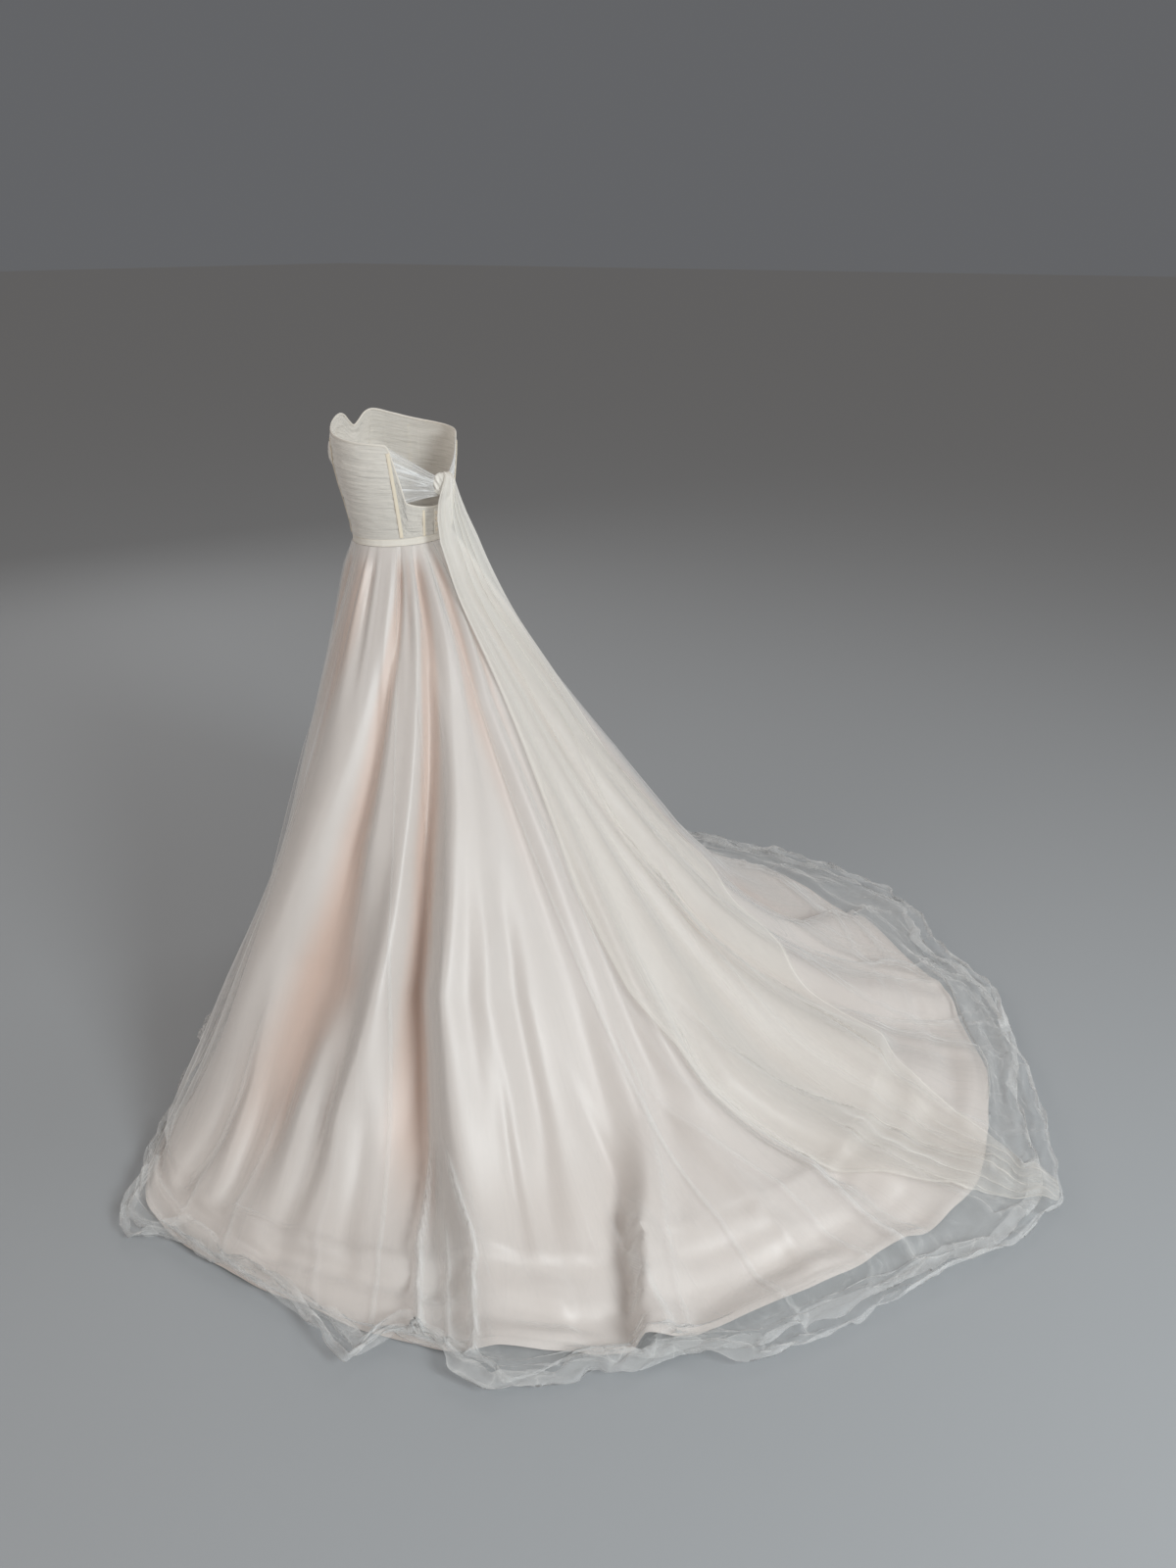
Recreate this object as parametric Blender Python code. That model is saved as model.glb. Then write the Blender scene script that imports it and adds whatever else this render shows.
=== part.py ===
# A-line gown with a train: blush underskirt, sheer overskirt, low-backed strapless bodice and a
# sash that ties at the back.  Metres, +Z up, -Y the front, +X the wearer's left.
# The origin is the centre of the waist, where the gown is held up; the floor is FLOOR_Z.

import bpy
import numpy as np

# ---- sizes ---------------------------------------------------------------------------------
FLOOR_Z = -1.10                 # floor below the waist
SKIRT_TOP_Z = 0.004             # gathered top of both skirts
BAND_Z = (0.0045, 0.0190)       # waistband, foot and head
BODICE_Z = 0.0194               # foot of the bodice panels
WAIST_A = 0.112                 # half width of the waist
WAIST_B = 0.088                 # half depth of the waist
SATIN_WALL = 0.0015
TULLE_WALL = 0.0010
BODICE_WALL = 0.0015
TRIM_WALL = 0.0008
GAP = 0.0003                    # between pieces sewn together
SEAM_HALF = 0.00016             # each panel stops this far short of its seam

# ---- skirt outline -------------------------------------------------------------------------
# deg: direction round the waist (0 = left side, 90 = back, 270 = front)
# fall: radius where the cloth reaches the floor; satin, tulle: radius of each hem
# power: how the side hangs (1 = straight cone, more = hollow)
OUTLINE_COLUMNS = ("deg", "fall", "satin", "tulle", "power")
OUTLINE = (
    (0, .780, .815, .865, 1.12),
    (7, .830, .895, .922, 1.13),
    (15, .870, .930, .945, 1.15),
    (32, .920, .998, 1.060, 1.18),
    (45, .970, 1.080, 1.150, 1.20),
    (60, 1.020, 1.165, 1.215, 1.25),
    (75, 1.050, 1.225, 1.325, 1.32),
    (90, 1.070, 1.315, 1.440, 1.40),
    (103, 1.060, 1.300, 1.410, 1.40),
    (117, 1.040, 1.250, 1.370, 1.34),
    (132, 1.000, 1.177, 1.300, 1.26),
    (145, .960, 1.100, 1.250, 1.20),
    (158, .910, 1.050, 1.160, 1.15),
    (172, .850, .930, 1.060, 1.12),
    (190, .700, .800, .900, 1.10),
    (210, .580, .670, .740, 1.10),
    (240, .480, .550, .600, 1.10),
    (270, .430, .500, .540, 1.10),
    (300, .420, .465, .495, 1.10),
    (325, .445, .490, .525, 1.10),
    (345, .560, .600, .635, 1.11),
)

# ---- flutes of the skirt -------------------------------------------------------------------
# The cloth swells out in a rounded flute between each valley and the next.
# waist, mid, low, hem: direction of the valley at the waist, two fifths down, at the floor, at the hem
# d_top, d_mid, d_low, d_hem: its depth at those places, in metres
FLUTE_COLUMNS = ("waist", "mid", "low", "hem", "d_top", "d_mid", "d_low", "d_hem")
FLUTES = (
    (4, 3, 5, 5, .006, .010, .012, .004),
    (33, 22, 19, 16, .012, .026, .030, .008),
    (52, 46, 43.5, 41, .012, .030, .050, .018),
    (78, 77, 68, 57, .012, .032, .056, .024),
    (90, 87, 80, 80, .008, .018, .034, .010),
    (103, 100, 95, 93, .008, .014, .022, .008),
    (117, 119, 113, 111, .010, .018, .024, .010),
    (134, 134, 131, 126, .010, .020, .028, .012),
    (147, 148, 150, 147, .010, .022, .032, .014),
    (163, 162, 165, 166, .010, .022, .030, .012),
    (177, 177, 178, 179, .008, .018, .024, .010),
    (193, 194, 194, 196, .012, .026, .032, .014),
    (209, 208, 208, 208, .008, .018, .022, .010),
    (222, 223, 224, 226, .012, .024, .028, .012),
    (240, 239, 238, 238, .010, .018, .022, .008),
    (253, 254, 254, 255, .010, .020, .024, .012),
    (269, 268, 268, 268, .008, .014, .018, .008),
    (282, 283, 284, 285, .012, .022, .026, .010),
    (299, 299, 298, 298, .008, .016, .020, .008),
    (313, 314, 315, 316, .010, .020, .024, .010),
    (331, 331, 333, 333, .010, .018, .022, .008),
    (348, 348, 350, 350, .008, .014, .016, .006),
)
SINK = .68                      # how much of a flute's depth lies inside the plain outline

# ---- folds of the skirt --------------------------------------------------------------------
# top, mid, low, hem: direction of the fold at the waist, two fifths down, at the floor, at the hem
# start, end: where it fades in and out (0 waist, 1 reaches the floor, 2 satin hem)
# rise: metres out of the flutes; wide: half width at the floor
FOLD_COLUMNS = ("top", "mid", "low", "hem", "start", "end", "rise", "wide")
FOLDS = (
    (41, 8, 1, 1, .02, .95, .014, .050),
    (45, 36, 30, 28, .02, .80, .012, .050),
    (57, 49, 47, 49, .30, 2.1, .016, .040),
    (68, 60, 57, 58, .03, 1.0, .010, .045),
    (84, 81, 73, 62, .25, 2.2, .022, .040),
    (95, 91, 85, 84, .35, 2.2, .024, .044),
    (108, 108, 103, 100, .20, 2.2, .012, .050),
    (126, 127, 124, 133, .15, 2.2, .012, .050),
    (29, 28, 24, 22, .50, 1.7, .012, .040),
)

# columns of both skirts: closer over the train, wider over the front
NEAR_STEP = 5.0
SKIRT_DEG = [NEAR_STEP * i for i in range(32)] + [160.0 + 200.0 * i / 28.0 for i in range(28)]
SKIRT_ROWS = (0.0, .045, .11, .20, .32, .46, .62, .80, 1.0, 1.5, 2.0)
# name, first column, last column (columns run on past 60 = back to column 0)
SATIN_PANELS = (
    ("satin_side_left", 57, 66),
    ("satin_back_left", 6, 18),
    ("satin_back_right", 18, 32),
    ("satin_side_right", 32, 43),
    ("satin_front", 43, 57),
)
TULLE_PANELS = (
    ("tulle_side_left", 56, 67),
    ("tulle_back_left", 7, 14),
    ("tulle_back_middle", 14, 23),
    ("tulle_back_right", 23, 33),
    ("tulle_side_right", 33, 44),
    ("tulle_front", 44, 56),
)

# ---- bodice --------------------------------------------------------------------------------
# z: height; half: half width; front, back: depth either side of the centre
BODY_COLUMNS = ("z", "half", "front", "back")
BODY = (
    (.000, .1120, .0880, .0880),
    (.040, .1145, .0905, .0890),
    (.080, .1225, .0980, .0910),
    (.120, .1310, .1080, .0940),
    (.160, .1370, .1150, .0970),
    (.200, .1390, .1160, .0990),
    (.250, .1380, .1120, .1000),
)
BUST_RISE = .018
BUST_DEG = 29.0
BUST_Z = .168
# foot, head: direction of a column at the waist and at the top edge; top: height of the top edge
# left half only, from the centre front (270) round to the centre back (450)
EDGE_COLUMNS = ("foot", "head", "top")
EDGE = (
    (270.0, 270.0, .212), (277.0, 277.0, .221), (284.5, 284.5, .235), (292.0, 292.0, .240),
    (300.0, 300.0, .238), (309.0, 309.0, .232), (318.5, 318.5, .226), (328.0, 328.0, .220),
    (338.0, 338.0, .215), (350.0, 349.0, .211), (363.0, 360.0, .208), (376.0, 371.0, .205),
    (388.5, 382.0, .203), (401.0, 393.0, .200), (403.0, 396.5, .172), (405.0, 400.0, .144),
    (407.5, 403.5, .116), (410.5, 407.0, .088), (416.0, 414.0, .082), (423.0, 422.0, .078),
    (430.0, 430.0, .075), (440.0, 440.0, .073), (450.0, 450.0, .072),
)
BODICE_ROWS = (0.0, .18, .38, .58, .79, 1.0)
# columns counted from the centre front, 0 to 22, left and right alike
BODICE_PANELS = (("front_side", 3, 7), ("side", 7, 13), ("back", 13, 22))
BONING = (("front", 3, .0034), ("underarm", 7, .0034), ("side_back", 13, .0040), ("back", 20, .0034))
BINDING_TALL = .0030
BINDING_WIDE = .0021
PLACKET_HALF = .0065
BUTTON_Z = (.0275, .0385, .0495, .0605)
BUTTON_R = .0042
BUTTON_TALL = .0030

# ---- sash ----------------------------------------------------------------------------------
KNOT_CENTRE = (0.0, .1150, .1180)
KNOT_HALF = (.0185, .0150, .0240)
SASH_WALL = .0012
TAIL_WALL = .0010
TAIL_OFF = .0065                # how far the tail floats over the overskirt
# the part of the tail that hangs free: height, left edge, right edge, distance behind
HANG_COLUMNS = ("z", "left", "right", "y")
HANG = (
    (.0936, .0150, -.0150, .1150),
    (.0620, .0230, -.0470, .1290),
    (.0150, .0290, -.0700, .1440),
    (-.0400, .0340, -.0930, .1580),
    (-.1000, .0370, -.1150, .1740),
)
# the part that lies on the overskirt: row, direction of the left and of the right edge
LIE_COLUMNS = ("row", "left", "right")
LIE = (
    (.15, 80.5, 134.0), (.20, 81.0, 131.0), (.32, 83.0, 125.0), (.46, 84.0, 120.5),
    (.62, 86.0, 115.5), (.80, 89.0, 111.0), (1.00, 92.0, 106.5), (1.25, 92.5, 103.5),
    (1.50, 92.5, 101.5), (1.75, 92.2, 99.5), (2.00, 92.0, 98.0),
)
TAIL_REACH = 9.0                # degrees either side that the tail bridges from fold to fold
TAIL_TIP = ((1.395, 91.8, 97.0), (1.455, 91.8, 95.6), (1.473, 92.6, 94.2))


def column(table, names, name):
    """One named column of a table as an array."""
    return np.array([row[names.index(name)] for row in table], dtype=float)


def outline(name, deg):
    """Smooth value of one outline column at any direction, joined up all round."""
    at = column(OUTLINE, OUTLINE_COLUMNS, "deg")
    val = column(OUTLINE, OUTLINE_COLUMNS, name)
    count = len(at)
    deg = np.asarray(deg, dtype=float) % 360.0
    i = np.searchsorted(at, deg, side="right") - 1
    j = (i + 1) % count
    span = (at[j] - at[i]) % 360.0
    u = (deg - at[i]) / span

    def slope(m):
        before = (m - 1) % count
        after = (m + 1) % count
        return (val[after] - val[before]) / ((at[after] - at[before]) % 360.0)

    rise_a = slope(i) * span
    rise_b = slope(j) * span
    out = (2 * u**3 - 3 * u**2 + 1) * val[i] + (u**3 - 2 * u**2 + u) * rise_a
    return out + (-2 * u**3 + 3 * u**2) * val[j] + (u**3 - u**2) * rise_b


def waist_radius(deg):
    a = np.radians(deg)
    return 1.0 / np.sqrt((np.cos(a) / WAIST_A) ** 2 + (np.sin(a) / WAIST_B) ** 2)


def smooth(low, high, x):
    t = np.clip((x - low) / (high - low), 0.0, 1.0)
    return t * t * (3 - 2 * t)


def base_skirt(deg, row):
    """The underskirt without folds; rows past 2 run on to the overskirt hem at 3."""
    deg = np.asarray(deg, dtype=float)
    row = np.asarray(row, dtype=float)
    waist = waist_radius(deg)
    fall = outline("fall", deg)
    satin = outline("satin", deg)
    tulle = outline("tulle", deg)
    power = outline("power", deg)
    t = np.clip(row, 0.0, 1.0)
    radius = waist + (fall - waist) * t
    radius = radius + (satin - fall) * np.clip(row - 1.0, 0.0, 1.0)
    radius = radius + (tulle - satin) * np.clip(row - 2.0, 0.0, 1.0)
    z = SKIRT_TOP_Z + (FLOOR_Z - SKIRT_TOP_Z) * (1.0 - (1.0 - t) ** power)
    a = np.radians(deg)
    return np.stack([radius * np.cos(a), radius * np.sin(a), z], axis=-1)


def flute_rise(deg, row):
    """Rounded flutes between uneven valleys, at one place."""
    deg, row = np.broadcast_arrays(np.asarray(deg, dtype=float), np.asarray(row, dtype=float))
    stops = (0.0, .4, 1.0, 2.0)
    valley = np.array([np.interp(row, stops, line[:4]) for line in FLUTES])
    depth = np.array([np.interp(row, (.06, .4, 1.0, 2.0), line[4:]) for line in FLUTES])
    past = (deg[None] - valley) % 360.0
    left = np.argmin(past, axis=0)[None]
    right = (left + 1) % len(FLUTES)
    gone = np.take_along_axis(past, left, 0)[0]
    step = np.take_along_axis(valley, right, 0) - np.take_along_axis(valley, left, 0)
    x = gone / (step[0] % 360.0)
    deep = np.take_along_axis(depth, left, 0)[0] * (1 - x) + np.take_along_axis(depth, right, 0)[0] * x
    arch = np.clip(4 * x * (1 - x), 0.0, 1.0) ** .65
    sink = SINK * (1.0 - smooth(.80, 1.25, row))
    return deep * (arch - sink) * smooth(0.0, .06, row) * (1.0 - smooth(2.0, 3.2, row))


def fold_rise(deg, row):
    """Height of the flutes and of all the folds added up at one place."""
    deg = np.asarray(deg, dtype=float)
    row = np.asarray(row, dtype=float)
    total = flute_rise(deg, row)
    flat = base_skirt(deg, row)
    radius = np.hypot(flat[..., 0], flat[..., 1])
    for top, mid, low, hem, start, end, rise, wide in FOLDS:
        centre = np.interp(row, (0.0, .4, 1.0, 2.0), (top, mid, low, hem))
        off = (deg - centre + 180.0) % 360.0 - 180.0
        along = np.radians(off) * radius
        width = wide * (.16 + .84 * np.clip(row, 0.0, 1.0) ** .8)
        fade = smooth(start, start + .30, row) * (1.0 - smooth(end - .35, end, row))
        size = np.clip(row / .55, 0.0, 1.0) ** .7
        total = total + rise * fade * size * np.exp(-(along / width) ** 2)
    return total


def base_normal(deg, row):
    """Outward direction of the skirt without folds."""
    round_way = base_skirt(deg + .5, row) - base_skirt(deg - .5, row)
    low = np.clip(row - .01, 0.0, 3.0)
    down_way = base_skirt(deg, row + .01) - base_skirt(deg, low)
    n = np.cross(down_way, round_way)
    return n / np.linalg.norm(n, axis=-1, keepdims=True)


def skirt(deg, row):
    """Outer face of the underskirt with its folds, kept above the floor."""
    deg, row = np.broadcast_arrays(np.asarray(deg, dtype=float), np.asarray(row, dtype=float))
    p = base_skirt(deg, row) + base_normal(deg, row) * fold_rise(deg, row)[..., None]
    p[..., 2] = np.maximum(p[..., 2], FLOOR_Z + SATIN_WALL)
    return p


def skirt_normal(deg, row):
    """Outward direction of the skirt with its folds."""
    deg, row = np.broadcast_arrays(np.asarray(deg, dtype=float), np.asarray(row, dtype=float))
    round_way = skirt(deg + .6, row) - skirt(deg - .6, row)
    low = np.clip(row - .02, 0.0, 3.0)
    down_way = skirt(deg, row + .02) - skirt(deg, low)
    n = np.cross(down_way, round_way)
    return n / np.linalg.norm(n, axis=-1, keepdims=True)


def material(name, colour, rough, sheen, alpha=1.0):
    mat = bpy.data.materials.get(name) or bpy.data.materials.new(name)
    mat.use_nodes = True
    surface = mat.node_tree.nodes["Principled BSDF"]
    surface.inputs["Base Color"].default_value = (*colour, 1.0)
    surface.inputs["Roughness"].default_value = rough
    surface.inputs["Sheen Weight"].default_value = sheen
    surface.inputs["Alpha"].default_value = alpha
    mat.diffuse_color = (*colour, alpha)
    return mat


def add_object(name, points, faces, mat):
    mesh = bpy.data.meshes.new(name)
    mesh.from_pydata([tuple(p) for p in points], [], faces)
    mesh.update()
    mesh.materials.append(mat)
    thing = bpy.data.objects.new(name, mesh)
    bpy.context.scene.collection.objects.link(thing)
    return thing


def add_wall(name, outer, inner, mat):
    """A panel: outer and inner grids (columns, rows, 3) joined round their four edges."""
    columns, rows = outer.shape[:2]
    points = np.concatenate([outer.reshape(-1, 3), inner.reshape(-1, 3)])
    half = columns * rows
    faces = []
    for i in range(columns - 1):
        for j in range(rows - 1):
            a = i * rows + j
            b = a + rows
            faces += [(a, a + 1, b + 1), (a, b + 1, b)]
            faces += [(half + a, half + b + 1, half + a + 1), (half + a, half + b, half + b + 1)]
    ring = [i * rows for i in range(columns)]
    ring += [(columns - 1) * rows + j for j in range(1, rows)]
    ring += [i * rows + rows - 1 for i in range(columns - 2, -1, -1)]
    ring += [j for j in range(rows - 2, 0, -1)]
    for k, a in enumerate(ring):
        b = ring[(k + 1) % len(ring)]
        if b > a:
            faces += [(a, b, half + b), (a, half + b, half + a)]
        else:
            faces += [(a, b, half + a), (b, half + b, half + a)]
    return add_object(name, points, faces, mat)


def add_tube(name, sections, mat, closed):
    """A solid through four-cornered sections (count, 4, 3), a ring or a bar."""
    count = len(sections)
    points = np.asarray(sections).reshape(-1, 3)
    faces = []
    last = count if closed else count - 1
    for i in range(last):
        a = 4 * i
        b = 4 * ((i + 1) % count)
        for k in range(4):
            m = (k + 1) % 4
            faces += [(a + k, a + m, b + m), (a + k, b + m, b + k)]
    if not closed:
        end = 4 * (count - 1)
        faces += [(0, 3, 2), (0, 2, 1)]
        faces += [(end, end + 1, end + 2), (end, end + 2, end + 3)]
    return add_object(name, points, faces, mat)


def trim_seams(grid):
    """Draw the first and last columns of a panel in by the seam allowance."""
    out = grid.copy()
    for edge, beside in ((0, 1), (-1, -2)):
        step = grid[beside] - grid[edge]
        length = np.linalg.norm(step, axis=-1, keepdims=True)
        out[edge] = grid[edge] + step / length * SEAM_HALF
    return out


for thing in list(bpy.data.objects):
    bpy.data.objects.remove(thing, do_unlink=True)

SATIN = material("blush_satin", (.80, .655, .60), .38, .25)
TULLE = material("ivory_tulle", (.86, .84, .80), .75, .5)
MESH = material("bodice_mesh", (.84, .80, .74), .70, .4)
TRIM = material("cream_trim", (.86, .78, .66), .55, .2)
BUTTON = material("covered_button", (.84, .75, .62), .45, .2)

# ---- skirts --------------------------------------------------------------------------------
count = len(SKIRT_DEG)
deg_grid = np.array(SKIRT_DEG)[:, None]
row_grid = np.array(SKIRT_ROWS)[None, :]
face = skirt(deg_grid, row_grid)
normal = skirt_normal(deg_grid, row_grid)
normal[:, 0, 2] = 0.0
normal[:, 0] /= np.linalg.norm(normal[:, 0], axis=-1, keepdims=True)
satin_out = face
satin_in = face - normal * SATIN_WALL
satin_in[..., 2] = np.maximum(satin_in[..., 2], FLOOR_Z)
on_floor = (satin_out[..., 2] - satin_in[..., 2] < SATIN_WALL) & (row_grid >= 1.0)
satin_out[..., 2] = np.where(on_floor, satin_in[..., 2] + SATIN_WALL, satin_out[..., 2])
satin_out[:, 0, 2] = SKIRT_TOP_Z
satin_in[:, 0, 2] = SKIRT_TOP_Z

lift = np.interp(np.array(SKIRT_ROWS), (0.0, .2, .8, 1.0, 2.0), (.0004, .0020, .0050, .0030, .0010))
upright = smooth(.80, 1.0, np.array(SKIRT_ROWS))[None, :, None]
lift_way = normal * (1.0 - upright) + np.array([0.0, 0.0, 1.0]) * upright
tulle_in = satin_out + lift_way * lift[None, :, None]
tulle_out = tulle_in + lift_way * TULLE_WALL
tulle_in[:, 0, 2] = SKIRT_TOP_Z
tulle_out[:, 0, 2] = SKIRT_TOP_Z
# past the satin hem the tulle drops to the floor and runs on to its own hem
beyond = skirt(deg_grid, np.array([[2.10, 3.0]]))
hem_rise = np.maximum(beyond[..., 2] - FLOOR_Z - SATIN_WALL, 0.0)
drop = tulle_in[:, -1:, 2] - satin_in[:, -1:, 2]
beyond_in = beyond.copy()
beyond_in[..., 2] = FLOOR_Z + hem_rise
beyond_out = beyond_in.copy()
beyond_out[..., 2] += TULLE_WALL
step_out = (beyond[:, :1] - satin_out[:, -1:])[..., :2]
step_len = np.linalg.norm(step_out, axis=-1, keepdims=True)
beyond_in[:, :1, :2] = satin_out[:, -1:, :2] + step_out / step_len * np.maximum(step_len, .012)
beyond_out[:, :1, :2] = beyond_in[:, :1, :2]
tulle_in = np.concatenate([tulle_in, beyond_in], axis=1)
tulle_out = np.concatenate([tulle_out, beyond_out], axis=1)

for name, first, last in SATIN_PANELS:
    pick = [k % count for k in range(first, last + 1)]
    add_wall(name, trim_seams(satin_out[pick]), trim_seams(satin_in[pick]), SATIN)

for name, first, last in TULLE_PANELS:
    pick = [k % count for k in range(first, last + 1)]
    add_wall(name, trim_seams(tulle_out[pick]), trim_seams(tulle_in[pick]), TULLE)

# ---- bodice --------------------------------------------------------------------------------


def body(deg, z):
    """Outer face of the bodice at a direction and height."""
    deg = np.asarray(deg, dtype=float)
    z = np.asarray(z, dtype=float)
    heights = column(BODY, BODY_COLUMNS, "z")
    half = np.interp(z, heights, column(BODY, BODY_COLUMNS, "half"))
    front = np.interp(z, heights, column(BODY, BODY_COLUMNS, "front"))
    back = np.interp(z, heights, column(BODY, BODY_COLUMNS, "back"))
    a = np.radians(deg)
    depth = np.where(np.sin(a) < 0.0, front, back)
    radius = 1.0 / np.sqrt((np.cos(a) / half) ** 2 + (np.sin(a) / depth) ** 2)
    for side in (-BUST_DEG, BUST_DEG):
        off = (deg - 270.0 - side + 180.0) % 360.0 - 180.0
        up = (z - BUST_Z) / .042
        radius = radius + BUST_RISE * np.exp(-(off / 17.0) ** 2 - up ** 2)
    return np.stack([radius * np.cos(a), radius * np.sin(a), z + 0.0 * radius], axis=-1)


foot = column(EDGE, EDGE_COLUMNS, "foot")
head = column(EDGE, EDGE_COLUMNS, "head")
top = column(EDGE, EDGE_COLUMNS, "top")
v = np.array(BODICE_ROWS)[None, :]
left_deg = foot[:, None] + (head - foot)[:, None] * v
left_z = BODICE_Z + (top[:, None] - BODICE_Z) * v
left = body(left_deg, left_z)
right = left[::-1] * np.array([-1.0, 1.0, 1.0])
# one ring of columns: 0 centre front, 22 centre back, on round the right side to 43
ring = np.concatenate([left, right[1:-1]])
ring_count = len(ring)
before = np.roll(ring, 1, axis=0)
after = np.roll(ring, -1, axis=0)
rise_way = np.gradient(ring, axis=1)
ring_normal = np.cross(after - before, rise_way)
ring_normal /= np.linalg.norm(ring_normal, axis=-1, keepdims=True)
ring_in = ring - ring_normal * BODICE_WALL
ring_in[:, 0, 2] = BODICE_Z


def add_bodice_panel(name, first, last):
    pick = [k % ring_count for k in range(first, last + 1)]
    add_wall(name, trim_seams(ring[pick])[:, ::-1], trim_seams(ring_in[pick])[:, ::-1], MESH)


add_bodice_panel("bodice_front", ring_count - 3, ring_count + 3)
for name, first, last in BODICE_PANELS:
    add_bodice_panel("bodice_" + name + "_left", first, last)
    add_bodice_panel("bodice_" + name + "_right", ring_count - last, ring_count - first)


def add_strip(name, index, half_wide, wall, mat, low=.004, high=.035):
    """A flat strip laid on one column of the bodice, made from its points moved out."""
    line = ring[index]
    out = ring_normal[index]
    side = (after - before)[index]
    side = side / np.linalg.norm(side, axis=-1, keepdims=True)
    spots = [line[0] + (line[1] - line[0]) * low] + list(line[1:-1])
    spots.append(line[-1] + (line[-2] - line[-1]) * high)
    sections = []
    for k, spot in enumerate(spots):
        near = spot + out[k] * GAP
        far = near + out[k] * wall
        across = side[k] * half_wide
        sections.append([near - across, far - across, far + across, near + across])
    return add_tube(name, sections, mat, False)


for name, index, half_wide in BONING:
    add_strip("boning_" + name + "_left", index, half_wide / 1.2, TRIM_WALL, TRIM, .02, .10)
    add_strip("boning_" + name + "_right", ring_count - index, half_wide / 1.2, TRIM_WALL, TRIM, .02, .10)

placket = add_strip("back_placket", 22, PLACKET_HALF, .0012, TRIM, .02, .06)
line = ring[22]
out = ring_normal[22]
for number, z in enumerate(BUTTON_Z):
    y = np.interp(z, line[:, 2], line[:, 1]) + GAP + .0012 + GAP
    points = [(0.0, y, z)]
    faces = []
    sides = 10
    for depth, radius in ((0.0, .80), (.45, 1.0), (.80, .72)):
        for k in range(sides):
            a = 2.0 * np.pi * k / sides
            x = BUTTON_R * radius * np.cos(a)
            points.append((x, y + BUTTON_TALL * depth, z + BUTTON_R * radius * np.sin(a)))
    points.append((0.0, y + BUTTON_TALL, z))
    for k in range(sides):
        m = (k + 1) % sides
        faces.append((0, 1 + k, 1 + m))
        for level in (0, 1):
            a = 1 + level * sides
            faces += [(a + k, a + sides + k, a + sides + m), (a + k, a + sides + m, a + m)]
        faces.append((len(points) - 1, 1 + 2 * sides + m, 1 + 2 * sides + k))
    add_object("button_%d" % (number + 1), points, faces, BUTTON)

# ---- binding along the top edge, waistband -------------------------------------------------
edge = ring[:, -1] - ring_normal[:, -1] * BODICE_WALL / 2
edge_out = ring_normal[:, -1]
step_a = edge - np.roll(edge, 1, axis=0)
step_b = np.roll(edge, -1, axis=0) - edge
step_a /= np.linalg.norm(step_a, axis=-1, keepdims=True)
step_b /= np.linalg.norm(step_b, axis=-1, keepdims=True)
edge_way = step_a + step_b
edge_way /= np.linalg.norm(edge_way, axis=-1, keepdims=True)
edge_up = np.cross(edge_out, edge_way)
edge_up /= np.linalg.norm(edge_up, axis=-1, keepdims=True)
mitre = 1.0 / np.maximum(np.sum(edge_way * step_a, axis=-1, keepdims=True), .6)
edge_up = edge_up * mitre
sections = []
for k in range(ring_count):
    low = edge[k] + edge_up[k] * GAP
    high = edge[k] + edge_up[k] * (GAP + BINDING_TALL)
    across = edge_out[k] * BINDING_WIDE / 2
    sections.append([low - across, high - across, high + across, low + across])
add_tube("top_binding", sections, TRIM, True)

sections = []
band_deg = np.concatenate([foot, (180.0 - foot[1:-1])[::-1]])
for deg in band_deg:
    low = body(deg, 0.0)
    out_way = np.array([np.cos(np.radians(deg)), np.sin(np.radians(deg)), 0.0])
    outer = low + out_way * .0006
    inner = low - out_way * .0012
    sections.append([[*inner[:2], BAND_Z[0]], [*inner[:2], BAND_Z[1]],
                     [*outer[:2], BAND_Z[1]], [*outer[:2], BAND_Z[0]]])
add_tube("waistband", sections, TRIM, True)

# ---- sash: knot, two gathered bands, tail --------------------------------------------------
points = [(KNOT_CENTRE[0], KNOT_CENTRE[1], KNOT_CENTRE[2] - KNOT_HALF[2])]
faces = []
sides = 12
levels = (-.80, -.40, 0.0, .40, .80)
for level in levels:
    size = (1.0 - abs(level) ** 2.6) ** (1 / 2.6)
    for k in range(sides):
        a = 2.0 * np.pi * k / sides
        points.append((KNOT_CENTRE[0] + KNOT_HALF[0] * size * np.cos(a),
                       KNOT_CENTRE[1] + KNOT_HALF[1] * size * np.sin(a),
                       KNOT_CENTRE[2] + KNOT_HALF[2] * level))
points.append((KNOT_CENTRE[0], KNOT_CENTRE[1], KNOT_CENTRE[2] + KNOT_HALF[2]))
for k in range(sides):
    m = (k + 1) % sides
    faces.append((0, 1 + m, 1 + k))
    for level in range(len(levels) - 1):
        a = 1 + level * sides
        faces += [(a + k, a + m, a + sides + m), (a + k, a + sides + m, a + sides + k)]
    a = 1 + (len(levels) - 1) * sides
    faces.append((len(points) - 1, a + k, a + m))
add_object("sash_knot", points, faces, TULLE)

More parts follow.
